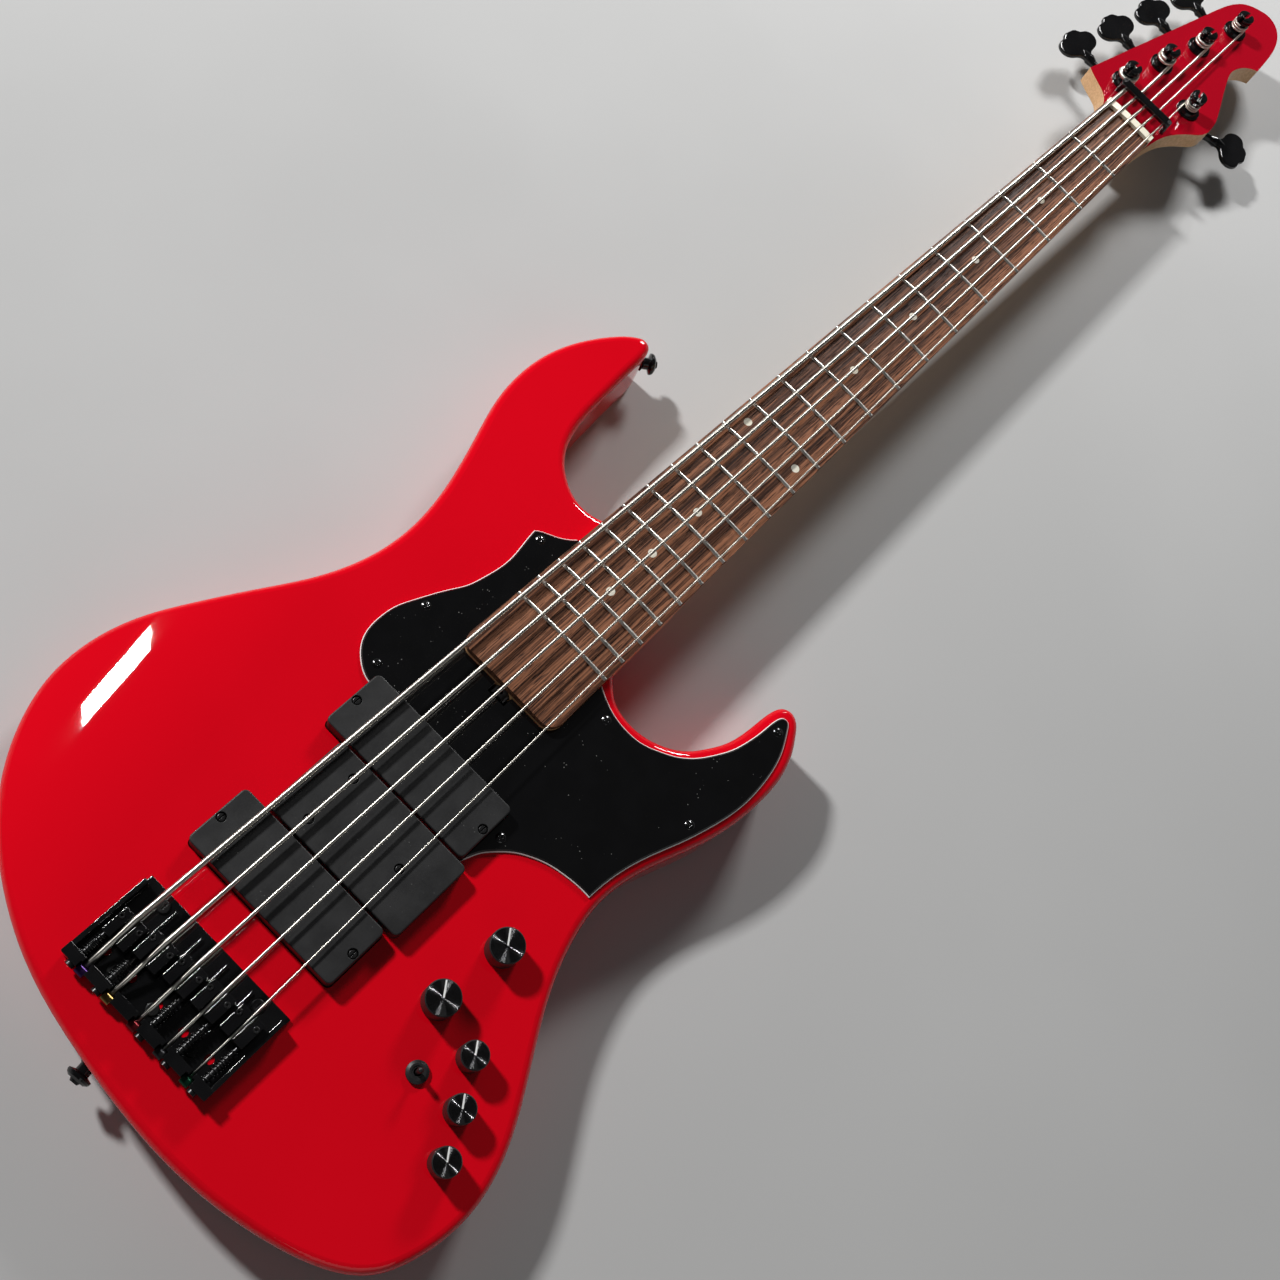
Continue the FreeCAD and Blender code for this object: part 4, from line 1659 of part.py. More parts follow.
def build_bay():
    """Control cover, and the battery and preamp that lie on it."""
    inset = mm("flush_inset")
    plan = cavity_face(mm("cavity_corner") + mm("cover_lip") - mm("cover_gap"), inset)
    cover = plan.extrude(Z_AXIS * mm("cover_thickness"))
    tools = pilots(COVER_SCREWS, "trim_screw_radius", -OVERRUN, mm("cover_thickness") + OVERRUN)
    tools += [countersink(point + Z_AXIS * inset, -Z_AXIS) for point in COVER_SCREWS]
    node("control_cover", feature("control_cover", cover.cut(tools).Solids[0]))
    battery = built(padded_slab("battery_block", "battery_length", "battery_width", "battery_height", "battery_corner"))
    preamp = built(padded_slab("preamp_block", "preamp_length", "preamp_width", "preamp_height", "preamp_corner"))
    turn = Rotation(Z_AXIS, mm("bay_turn"))
    level = inset + mm("cover_thickness")
    for name, shape, share in (("battery", battery, BATTERY_SHARE), ("preamp_module", preamp, PREAMP_SHARE)):
        node(name, feature(name, moved(shape, Placement(on_body(share, level), turn)).Solids[0]))


def build_jack():
    """Barrel jack in the rim."""
    flange = rod("jack_flange", "jack_flange_radius", "jack_flange_height - jack_flange_ease")
    bezel = taper("jack_bezel", "jack_flange_radius", "jack_flange_radius - jack_flange_ease", "jack_flange_ease",
                  ("0", "0", "jack_flange_height - jack_flange_ease"))
    barrel = rod("jack_barrel", "jack_barrel_radius", "jack_barrel_length", ("0", "0", "-jack_barrel_length"))
    bore = rod("jack_bore", "jack_bore_radius", "2 * jack_bore_depth", ("0", "0", "jack_flange_height - jack_bore_depth"))
    jack = built(cut("jack_turned", fuse("jack_whole", flange, bezel, barrel), bore))
    place = Placement(JACK_SEAT, Rotation(Z_AXIS, JACK_OUT))
    node("output_jack", feature("output_jack", moved(jack, place).Solids[0]))


def build_strap_buttons():
    """Strap buttons and their screws."""
    waist_at = "button_base_height"
    head_at = "button_base_height + button_waist_height"
    base = taper("button_base", "button_base_radius", "button_waist_radius", "button_base_height")
    waist = rod("button_waist", "button_waist_radius", "button_waist_height", ("0", "0", waist_at))
    step = "button_head_height / 4"
    flare = taper("button_flare", "button_waist_radius", "button_head_radius", step, ("0", "0", head_at))
    band = rod("button_band", "button_head_radius", step, ("0", "0", f"{head_at} + {step}"))
    dome = taper("button_dome", "button_head_radius", f"button_head_radius - {step} / 2", step,
                 ("0", "0", f"{head_at} + 2 * {step}"))
    crest = taper("button_crest", f"button_head_radius - {step} / 2", f"button_head_radius - 2 * {step}", step,
                  ("0", "0", f"{head_at} + 3 * {step}"))
    bore = rod("button_bore", "button_bore_radius", "4 * button_waist_height", ("0", "0", "-button_waist_height"))
    button = built(cut("button", fuse("button_whole", base, waist, flare, band, dome, crest), bore))
    seat = f"{head_at} + button_head_height"
    head = taper("button_screw_head", "button_screw_head_radius", "button_screw_head_radius - button_screw_head_height / 2",
                 "button_screw_head_height", ("0", "0", seat))
    shank_length = f"button_screw_length + {seat}"
    shank = rod("button_screw_shank", "button_screw_radius", shank_length, ("0", "0", "-button_screw_length"))
    slot = block("button_screw_slot", ("-button_screw_head_radius / 2", "-button_screw_radius / 4", f"{seat} + button_screw_head_height / 2"),
                 ("button_screw_head_radius", "button_screw_radius / 2", "button_screw_head_height"))
    screw = built(cut("button_screw", fuse("button_screw_whole", head, shank), slot))
    places = [Placement(point, Rotation(Z_AXIS, out)) for point, out in BUTTON_SEATS]
    group("strap_buttons", [moved(button, place).Solids[0] for place in places])
    group("strap_button_screws", [moved(screw, place).Solids[0] for place in places])


def check_and_write():
    """Stop on any failed object or unsound shape, then write one file for each sub-part."""
    doc.recompute()
    failed = [item.Label for item in doc.Objects if "Invalid" in item.State or "Error" in item.State]
    if failed:
        raise RuntimeError(f"failed objects: {failed}")
    for item in nodes:
        if item.Shape.isNull() or not item.Shape.isValid():
            raise RuntimeError(f"unsound shape: {item.Label}")
    os.makedirs("parts", exist_ok=True)
    for item in nodes:
        item.Shape.exportStep(f"parts/{item.Label}.step")
    print(f"{len(nodes)} sub-parts written")


BUILDERS = (
    build_body, build_neck, build_truss_rod, build_fingerboard, build_nut, build_neck_fastening, build_pickguard,
    build_cover_screws, build_pickups, build_bridge, build_saddles, build_strings, build_retainer, build_tuners,
    build_headstock_screws, build_controls, build_jack, build_strap_buttons,
)
for build in BUILDERS:
    build()
check_and_write()
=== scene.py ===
"""Looks of a five-string electric bass guitar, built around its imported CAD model.

Every length is in metres, in the CAD frame: +X along the neck to the headstock, +Y to the thickest
string, +Z out of the face, with the origin on the flat back under the end of the scale.
"""
import logging
import math
from collections.abc import Callable, Iterable, Sequence
from dataclasses import dataclass
from enum import Enum, IntEnum

import bmesh
import bpy
from bpy.types import ID, Material, Mesh, MeshPolygon, Node, NodeOutputs, NodeSocket, NodeTree, Object
from mathutils import Matrix, Vector


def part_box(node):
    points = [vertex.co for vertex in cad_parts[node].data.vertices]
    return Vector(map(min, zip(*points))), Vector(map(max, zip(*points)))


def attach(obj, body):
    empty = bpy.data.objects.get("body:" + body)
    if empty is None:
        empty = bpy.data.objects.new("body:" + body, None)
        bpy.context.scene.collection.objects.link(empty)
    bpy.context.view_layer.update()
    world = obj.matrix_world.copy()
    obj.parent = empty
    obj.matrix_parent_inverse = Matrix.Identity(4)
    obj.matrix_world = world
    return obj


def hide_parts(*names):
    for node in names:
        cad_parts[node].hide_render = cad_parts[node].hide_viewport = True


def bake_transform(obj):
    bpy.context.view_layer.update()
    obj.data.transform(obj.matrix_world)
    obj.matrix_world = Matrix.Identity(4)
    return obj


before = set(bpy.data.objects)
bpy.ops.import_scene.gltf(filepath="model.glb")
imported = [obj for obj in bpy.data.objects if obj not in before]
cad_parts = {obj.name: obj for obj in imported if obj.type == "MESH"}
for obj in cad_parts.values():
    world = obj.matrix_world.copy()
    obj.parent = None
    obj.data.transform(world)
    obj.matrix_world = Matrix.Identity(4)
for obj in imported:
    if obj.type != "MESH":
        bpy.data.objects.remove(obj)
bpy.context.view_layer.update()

log = logging.getLogger("bass")

Color = tuple[float, float, float]
Point = tuple[float, float, float]
Pairs = tuple[tuple[str, str], ...]
Ridge = Callable[[float, float], float]
ROOT = "instrument"
# Distances of the strings from the centre line at the bridge, from the thickest.
STRING_LINES = (0.036, 0.018, 0.0, -0.018, -0.036)
FULL_TURN = 2 * math.pi


class Socket(Enum):
    """Kinds of socket on a shader node group."""

    COLOR = "NodeSocketColor"
    VALUE = "NodeSocketFloat"


class Slot(IntEnum):
    """Material slots of the pieces that have more than one finish."""

    MAIN = 0
    SECOND = 1
    POINTER = 2
    SHAFT = 3


class Tree:
    """Thin layer over a node tree that adds and links nodes in one call."""

    # A mix node lists its sockets for every data type: these are the ones for colours.
    mix_inputs = (6, 7)
    mix_output = 2

    def __init__(self, tree: NodeTree) -> None:
        """Keep the node tree of a material, a group or a world."""
        self.tree = tree

    def add(self, kind: str, settings: dict | None = None, **inputs: object) -> Node:
        """Add a node, set its properties and fill its inputs.

        Args:
            kind: Blender's node type.
            settings: Properties of the node itself.
            inputs: Input names, spaces written as underscores, with values or output sockets.

        Returns:
            The new node.
        """
        node = self.tree.nodes.new(kind)
        for name, value in (settings or {}).items():
            setattr(node, name, value)
        self.fill_all(node, inputs)
        return node

    def fill_all(self, node: Node, inputs: dict[str, object]) -> None:
        """Fill several inputs of a node.

        Args:
            node: The node.
            inputs: Input names, spaces written as underscores, with values or output sockets.
        """
        for name, value in inputs.items():
            self.fill(node.inputs[name.replace("_", " ")], value)

    def fill(self, socket: NodeSocket, value: object) -> None:
        """Link an output to a socket, or set the socket's own value.

        Args:
            socket: The input to fill.
            value: An output socket, a number, a colour or a vector.
        """
        if isinstance(value, NodeSocket):
            self.tree.links.new(value, socket)
        elif socket.type == "RGBA" and len(value) == 3:
            socket.default_value = (*value, 1.0)
        else:
            socket.default_value = value

    def math(self, operation: str, *values: object) -> NodeSocket:
        """Result of a math node with given operands."""
        return self.operate("ShaderNodeMath", operation, values)

    def vector(self, operation: str, *values: object) -> NodeSocket:
        """Result of a vector math node with given operands."""
        return self.operate("ShaderNodeVectorMath", operation, values)

    def operate(self, kind: str, operation: str, values: Sequence[object]) -> NodeSocket:
        """Add a node that takes its operands in order.

        Args:
            kind: Blender's node type.
            operation: Blender's name of the operation.
            values: The operands.

        Returns:
            The result's socket.
        """
        node = self.add(kind, {"operation": operation})
        for socket, value in zip(node.inputs, values):
            self.fill(socket, value)
        return node.outputs[0]

    def mix(self, share: object, first: object, second: object) -> NodeSocket:
        """Mix two colours.

        Args:
            share: How much of the second colour.
            first: First colour.
            second: Second colour.

        Returns:
            The mixed colour's socket.
        """
        node = self.add("ShaderNodeMix", {"data_type": "RGBA"}, Factor=share)
        for index, color in zip(self.mix_inputs, (first, second)):
            self.fill(node.inputs[index], color)
        return node.outputs[self.mix_output]

    def span(self, value: object, low: float, high: float, start: float = 0.0,
             end: float = 1.0) -> NodeSocket:
        """Map a span of values to another one, smoothly and clamped.

        Args:
            value: The value to map.
            low: Value that gives start.
            high: Value that gives end.
            start: Result at low.
            end: Result at high.

        Returns:
            The mapped value's socket.
        """
        node = self.add("ShaderNodeMapRange", {"interpolation_type": "SMOOTHSTEP"}, Value=value,
                        From_Min=low, From_Max=high, To_Min=start, To_Max=end)
        return node.outputs[0]

    def place(self, stretch: Point = (1.0, 1.0, 1.0)) -> NodeSocket:
        """Coordinates in the object's own frame, stretched along each axis."""
        source = self.add("ShaderNodeTexCoord").outputs["Object"]
        return self.add("ShaderNodeMapping", Vector=source, Scale=stretch).outputs[0]

    def part(self, vector: NodeSocket, axis: str) -> NodeSocket:
        """One part of a vector, by the name of its axis."""
        return self.add("ShaderNodeSeparateXYZ", Vector=vector).outputs[axis]

    def noise(self, where: NodeSocket, scale: object, detail: float) -> NodeSocket:
        """Fractal noise at coordinates, with its scale and its number of octaves."""
        return self.add("ShaderNodeTexNoise", Vector=where, Scale=scale, Detail=detail).outputs[0]


class Groups:
    """Shader node groups for the effects that several finishes share."""

    def __init__(self) -> None:
        """Build each group once."""
        self.speckle = self._speckle()
        self.smudge = self._smudge()
        self.wood = self._wood()
        self.ripple = self._ripple()
        self.dust = self._dust()

    @staticmethod
    def _start(name: str, inputs: dict[str, Socket], outputs: dict[str, Socket]) -> tuple[Tree, dict, dict]:
        """Make an empty group with its sockets.

        Args:
            name: The group's name.
            inputs: Input names and kinds.
            outputs: Output names and kinds.

        Returns:
            The tree, its input sockets by name and its output sockets by name.
        """
        group = bpy.data.node_groups.new(name, "ShaderNodeTree")
        for side, sockets in (("INPUT", inputs), ("OUTPUT", outputs)):
            for title, kind in sockets.items():
                group.interface.new_socket(name=title, in_out=side, socket_type=kind.value)
        tree = Tree(group)
        entry = tree.add("NodeGroupInput").outputs
        close = tree.add("NodeGroupOutput").inputs
        return tree, {title: entry[title] for title in inputs}, {title: close[title] for title in outputs}

    def _speckle(self) -> NodeTree:
        """Two close colours and a fine grain, for moulded, cast and plated surfaces.

        Returns:
            The group.
        """
        low, high = 0.35, 0.65
        cloud_detail, grain_detail = 3.0, 2.0
        kinds = {name: Socket.COLOR for name in ("Color", "Shade")}
        kinds |= {name: Socket.VALUE for name in ("Cloud Scale", "Grain Scale")}
        results = {"Color": Socket.COLOR, "Height": Socket.VALUE}
        tree, inputs, outputs = self._start("speckle", kinds, results)
        where = tree.place()
        cloud = tree.span(tree.noise(where, inputs["Cloud Scale"], cloud_detail), low, high)
        tree.fill(outputs["Color"], tree.mix(cloud, inputs["Color"], inputs["Shade"]))
        tree.fill(outputs["Height"], tree.noise(where, inputs["Grain Scale"], grain_detail))
        return tree.tree

    def _smudge(self) -> NodeTree:
        """Uneven gloss, as from handling and polishing.

        Returns:
            The group.
        """
        low, high = 0.3, 0.7
        cloud_detail, fine_detail = 5.0, 3.0
        cloud_share, fine_share = 0.7, 0.3
        fine_ratio = 9.0
        kinds = {name: Socket.VALUE for name in ("Roughness", "Spread", "Scale")}
        tree, inputs, outputs = self._start("smudge", kinds, {"Roughness": Socket.VALUE})
        where = tree.place()
        cloud = tree.noise(where, inputs["Scale"], cloud_detail)
        fine = tree.noise(where, tree.math("MULTIPLY", inputs["Scale"], fine_ratio), fine_detail)
        cloud = tree.math("MULTIPLY", cloud, cloud_share)
        both = tree.math("ADD", cloud, tree.math("MULTIPLY", fine, fine_share))
        swing = tree.math("MULTIPLY", tree.span(both, low, high, -1.0, 1.0), inputs["Spread"])
        tree.fill(outputs["Roughness"], tree.math("ADD", inputs["Roughness"], swing))
        return tree.tree

    def _wood(self) -> NodeTree:
        """Straight wood grain along X, with bands, streaks and open pores.

        Returns:
            The group.
        """
        band_stretch, band_detail, band_share = (2.2, 95.0, 40.0), 3.0, 0.35
        streak_stretch, streak_detail, streak_share = (9.0, 900.0, 420.0), 4.0, 0.65
        pore_stretch, pore_detail = (85.0, 2000.0, 1000.0), 3.0
        dark_limit, light_limit = 0.40, 0.60
        pore_low, pore_high = 0.53, 0.64
        streak_height = 0.4
        kinds = {name: Socket.COLOR for name in ("Light", "Dark", "Pore")} | {"Pore Depth": Socket.VALUE}
        results = {"Color": Socket.COLOR, "Height": Socket.VALUE, "Pore Mask": Socket.VALUE}
        tree, inputs, outputs = self._start("wood", kinds, results)
        bands = tree.noise(tree.place(band_stretch), 1.0, band_detail)
        streaks = tree.noise(tree.place(streak_stretch), 1.0, streak_detail)
        pores = tree.noise(tree.place(pore_stretch), 1.0, pore_detail)
        bands = tree.math("MULTIPLY", bands, band_share)
        figure = tree.math("ADD", bands, tree.math("MULTIPLY", streaks, streak_share))
        tone = tree.mix(tree.span(figure, dark_limit, light_limit), inputs["Dark"], inputs["Light"])
        mask = tree.math("MULTIPLY", tree.span(pores, pore_low, pore_high), inputs["Pore Depth"])
        tree.fill(outputs["Color"], tree.mix(mask, tone, inputs["Pore"]))
        tree.fill(outputs["Pore Mask"], mask)
        height = tree.math("SUBTRACT", tree.math("MULTIPLY", streaks, streak_height), mask)
        tree.fill(outputs["Height"], height)
        return tree.tree

    def _ripple(self) -> NodeTree:
        """Faint waviness of a sprayed and polished coat.

        Returns:
            The group.
        """
        fine_ratio, fine_share = 12.0, 0.05
        broad_detail, fine_detail = 1.0, 2.0
        tree, inputs, outputs = self._start("ripple", {"Scale": Socket.VALUE}, {"Height": Socket.VALUE})
        where = tree.place()
        broad = tree.noise(where, inputs["Scale"], broad_detail)
        fine = tree.noise(where, tree.math("MULTIPLY", inputs["Scale"], fine_ratio), fine_detail)
        tree.fill(outputs["Height"], tree.math("ADD", broad, tree.math("MULTIPLY", fine, fine_share)))
        return tree.tree

    def _dust(self) -> NodeTree:
        """Sparse pale specks on upward faces.

        Returns:
            The group.
        """
        speck_core, speck_rim = 0.1, 0.16
        patch_ratio, patch_detail, patch_low, patch_high = 0.21, 1.0, 0.6, 0.68
        steep, flat = 0.6, 0.95
        kinds = {name: Socket.VALUE for name in ("Scale", "Amount")}
        tree, inputs, outputs = self._start("dust", kinds, {"Mask": Socket.VALUE})
        cells = tree.add("ShaderNodeTexVoronoi", Vector=tree.place(), Scale=inputs["Scale"])
        spot = tree.span(cells.outputs["Distance"], speck_core, speck_rim, 1.0, 0.0)
        patch_scale = tree.math("MULTIPLY", inputs["Scale"], patch_ratio)
        patches = tree.noise(tree.place(), patch_scale, patch_detail)
        chosen = tree.span(patches, patch_low, patch_high)
        up = tree.span(tree.part(tree.add("ShaderNodeNewGeometry").outputs["Normal"], "Z"), steep, flat)
        mask = tree.math("MULTIPLY", tree.math("MULTIPLY", spot, chosen), up)
        tree.fill(outputs["Mask"], tree.math("MULTIPLY", mask, inputs["Amount"]))
        return tree.tree


class Paint(Tree):
    """Material under way: one Principled shader, with the shared groups at hand."""

    bevel_samples = 6

    def __init__(self, groups: Groups, name: str, **plain: object) -> None:
        """Start a material.

        Args:
            groups: Shared groups.
            name: The material's name.
            plain: Constant values for the shader's own sockets.
        """
        self.material = bpy.data.materials.new(name)
        self.material.use_nodes = True
        self.material.node_tree.nodes.clear()
        super().__init__(self.material.node_tree)
        self.groups = groups
        self.shader = self.add("ShaderNodeBsdfPrincipled", **plain)
        self.add("ShaderNodeOutputMaterial", Surface=self.shader.outputs[0])

    def cover(self, **inputs: object) -> None:
        """Fill inputs of the shader, their names' spaces written as underscores."""
        self.fill_all(self.shader, inputs)

    def group(self, group: NodeTree, **inputs: object) -> NodeOutputs:
        """Place a shared group with its own values, and return its outputs."""
        return self.add("ShaderNodeGroup", {"node_tree": group}, **inputs).outputs

    def tone(self, color: Color, shade: Color, cloud: float, grain: float = 1800.0) -> NodeOutputs:
        """Clouded colour and fine grain of given scales, as the outputs of the speckle group."""
        scales = {"Cloud_Scale": cloud, "Grain_Scale": grain}
        return self.group(self.groups.speckle, Color=color, Shade=shade, **scales)

    def gloss(self, roughness: float, spread: float, scale: float) -> NodeSocket:
        """Roughness that strays by a spread, in smudges of a given scale."""
        return self.group(self.groups.smudge, Roughness=roughness, Spread=spread, Scale=scale)["Roughness"]

    def bump(self, height: NodeSocket, distance: float, strength: float = 1.0, edge: float = 0.0) -> None:
        """Drive the shader's normal with a height, and round sharp edges over.

        Args:
            height: Height between 0 and 1.
            distance: Depth of a full step.
            strength: Share of the effect.
            edge: Radius of the rounding, or none.
        """
        bump = self.add("ShaderNodeBump", Height=height, Distance=distance, Strength=strength)
        if edge:
            bevel = self.add("ShaderNodeBevel", {"samples": self.bevel_samples}, Radius=edge)
            self.fill(bump.inputs["Normal"], bevel.outputs[0])
        self.cover(Normal=bump.outputs[0], Coat_Normal=bump.outputs[0])


@dataclass(frozen=True)
class Lacquer:
    """Sprayed, polished colour under a clear coat."""

    name: str
    color: Color
    shade: Color
    roughness: float = 0.4
    spread: float = 0.05
    specular: float = 0.0
    coat: float = 1.0
    coat_roughness: float = 0.02
    cloud_scale: float = 7.0
    smudge_scale: float = 14.0
    ripple_scale: float = 55.0
    ripple_depth: float = 0.00003

    def material(self, groups: Groups) -> Material:
        """Make the material.

        Args:
            groups: Shared groups.

        Returns:
            The material.
        """
        paint = Paint(groups, self.name, Coat_Weight=self.coat, Coat_Roughness=self.coat_roughness,
                      Specular_IOR_Level=self.specular)
        paint.cover(Base_Color=paint.tone(self.color, self.shade, self.cloud_scale)["Color"],
                    Roughness=paint.gloss(self.roughness, self.spread, self.smudge_scale))
        paint.bump(paint.group(groups.ripple, Scale=self.ripple_scale)["Height"], self.ripple_depth)
        return paint.material


@dataclass(frozen=True)
class Timber:
    """Bare or oiled wood with its grain along the neck."""

    name: str
    light: Color
    dark: Color
    pore: Color
    roughness: float
    pore_depth: float
    bump_depth: float
    coat: float = 0.0
    specular: float = 0.5
    coat_roughness: float = 0.22
    spread: float = 0.06
    smudge_scale: float = 30.0
    pore_dryness: float = 0.25
    bump_strength: float = 0.6

    def material(self, groups: Groups) -> Material:
        """Make the material.

        Args:
            groups: Shared groups.

        Returns:
            The material.
        """
        paint = Paint(groups, self.name, Coat_Weight=self.coat, Coat_Roughness=self.coat_roughness,
                      Specular_IOR_Level=self.specular)
        grain = paint.group(groups.wood, Light=self.light, Dark=self.dark, Pore=self.pore,
                            Pore_Depth=self.pore_depth)
        dry = paint.math("MULTIPLY", grain["Pore Mask"], self.pore_dryness)
        gloss = paint.gloss(self.roughness, self.spread, self.smudge_scale)
        paint.cover(Base_Color=grain["Color"], Roughness=paint.math("ADD", gloss, dry))
        paint.bump(grain["Height"], self.bump_depth, self.bump_strength)
        return paint.material


@dataclass(frozen=True)
class Plating:
    """Metal or plastic of one colour, with clouding, fine grain, smudges and dust."""

    name: str
    color: Color
    shade: Color
    roughness: float
    spread: float = 0.05
    metallic: float = 0.0
    coat: float = 0.0
    coat_roughness: float = 0.04
    specular: float = 0.5
    grain_scale: float = 1800.0
    grain_depth: float = 0.0
    dust: float = 0.0
    edge: float = 0.0
    cloud_scale: float = 60.0
    smudge_scale: float = 80.0
    dust_scale: float = 420.0
    dust_color: Color = (0.45, 0.44, 0.42)
    dust_dryness: float = 0.4

    def material(self, groups: Groups) -> Material:
        """Make the material.

        Args:
            groups: Shared groups.

        Returns:
            The material.
        """
        paint = Paint(groups, self.name, Metallic=self.metallic, Coat_Weight=self.coat,
                      Coat_Roughness=self.coat_roughness, Specular_IOR_Level=self.specular)
        tone = paint.tone(self.color, self.shade, self.cloud_scale, self.grain_scale)
        color = tone["Color"]
        roughness = paint.gloss(self.roughness, self.spread, self.smudge_scale)
        if self.dust:
            specks = paint.group(groups.dust, Scale=self.dust_scale, Amount=self.dust)["Mask"]
            color = paint.mix(specks, color, self.dust_color)
            roughness = paint.math("ADD", roughness, paint.math("MULTIPLY", specks, self.dust_dryness))
        paint.cover(Base_Color=color, Roughness=roughness)
        if self.grain_depth or self.edge:
            paint.bump(tone["Height"], self.grain_depth, edge=self.edge)
        return paint.material


@dataclass(frozen=True)
class PlyEdge:
    """Bevelled edge of a laminated guard: black, white and black by height."""

    name: str
    low: float
    high: float
    black: Color
    white: Color
    soft: float = 0.00004
    coat: float = 0.4
    coat_roughness: float = 0.1
    roughness: float = 0.35
    spread: float = 0.08
    smudge_scale: float = 200.0

    def material(self, groups: Groups) -> Material:
        """Make the material.

        Args:
            groups: Shared groups.

        Returns:
            The material.
        """
        paint = Paint(groups, self.name, Coat_Weight=self.coat, Coat_Roughness=self.coat_roughness)
        height = paint.part(paint.place(), "Z")
        above = paint.span(height, self.low - self.soft, self.low + self.soft)
        below = paint.span(height, self.high - self.soft, self.high + self.soft, 1.0, 0.0)
        band = paint.math("MULTIPLY", above, below)
        paint.cover(Base_Color=paint.mix(band, self.black, self.white),
                    Roughness=paint.gloss(self.roughness, self.spread, self.smudge_scale))
        return paint.material


@dataclass(frozen=True)
class TurnedTop:
    """Black knob top with fine turning marks about its own axis."""

    name: str
    color: Color
    shade: Color
    roughness: float = 0.13
    spread: float = 0.03
    cloud_scale: float = 300.0
    smudge_scale: float = 300.0
    ring_pitch: float = 0.00018
    ring_slope: float = 0.75

    def material(self, groups: Groups, axis: Point) -> Material:
        """Make the material for one knob.

        Args:
            groups: Shared groups.
            axis: A point on the knob's axis.

        Returns:
            The material.
        """
        paint = Paint(groups, self.name, Metallic=1.0)
        source = paint.add("ShaderNodeTexCoord").outputs["Object"]
        outward = paint.vector("MULTIPLY", paint.vector("SUBTRACT", source, axis), (1.0, 1.0, 0.0))
        radius = paint.add("ShaderNodeVectorMath", {"operation": "LENGTH"}, Vector=outward).outputs["Value"]
        ring = paint.math("SINE", paint.math("MULTIPLY", radius, FULL_TURN / self.ring_pitch))
        lean = paint.add("ShaderNodeVectorMath", {"operation": "SCALE"},
                         Vector=paint.vector("NORMALIZE", outward),
                         Scale=paint.math("MULTIPLY", ring, self.ring_slope)).outputs[0]
        tilted = paint.vector("NORMALIZE", paint.vector("ADD", lean, (0.0, 0.0, 1.0)))
        settings = {"vector_type": "NORMAL", "convert_from": "OBJECT", "convert_to": "WORLD"}
        turned = paint.add("ShaderNodeVectorTransform", settings, Vector=tilted)
        paint.cover(Normal=turned.outputs[0],
                    Base_Color=paint.tone(self.color, self.shade, self.cloud_scale)["Color"],
                    Roughness=paint.gloss(self.roughness, self.spread, self.smudge_scale))
        return paint.material


@dataclass(frozen=True)
class WoundWire:
    """Round-wound string, brighter along its length than across it."""

    name: str
    pitch: float
    color: Color = (0.82, 0.79, 0.71)
    worn: Color = (0.72, 0.69, 0.62)
    wear_stretch: Point = (60.0, 60.0, 60.0)
    wear_detail: float = 4.0
    wear_low: float = 0.3
    wear_high: float = 0.7
    roughness: float = 0.33
    spread: float = 0.015
    smudge_scale: float = 50.0
    anisotropy: float = 0.85
    quarter_turn: float = 0.25
    ridge_share: float = 0.12
    ridge_strength: float = 0.025

    def material(self, groups: Groups) -> Material:
        """Make the material for one string.

        Args:
            groups: Shared groups.

        Returns:
            The material.
        """
        paint = Paint(groups, self.name, Metallic=1.0, Anisotropic=self.anisotropy,
                      Anisotropic_Rotation=self.quarter_turn)
        along = paint.part(paint.add("ShaderNodeUVMap", {"uv_map": "along"}).outputs[0], "Y")
        patches = paint.noise(paint.place(self.wear_stretch), 1.0, self.wear_detail)
        wear = paint.span(patches, self.wear_low, self.wear_high)
        tangent = paint.add("ShaderNodeTangent", {"direction_type": "UV_MAP", "uv_map": "along"})
        paint.cover(Base_Color=paint.mix(wear, self.color, self.worn), Tangent=tangent.outputs[0],
                    Roughness=paint.gloss(self.roughness, self.spread, self.smudge_scale))
        turns = paint.math("SINE", paint.math("MULTIPLY", along, FULL_TURN / self.pitch))
        paint.bump(paint.span(turns, -1.0, 1.0), self.pitch * self.ridge_share, self.ridge_strength)
        return paint.material


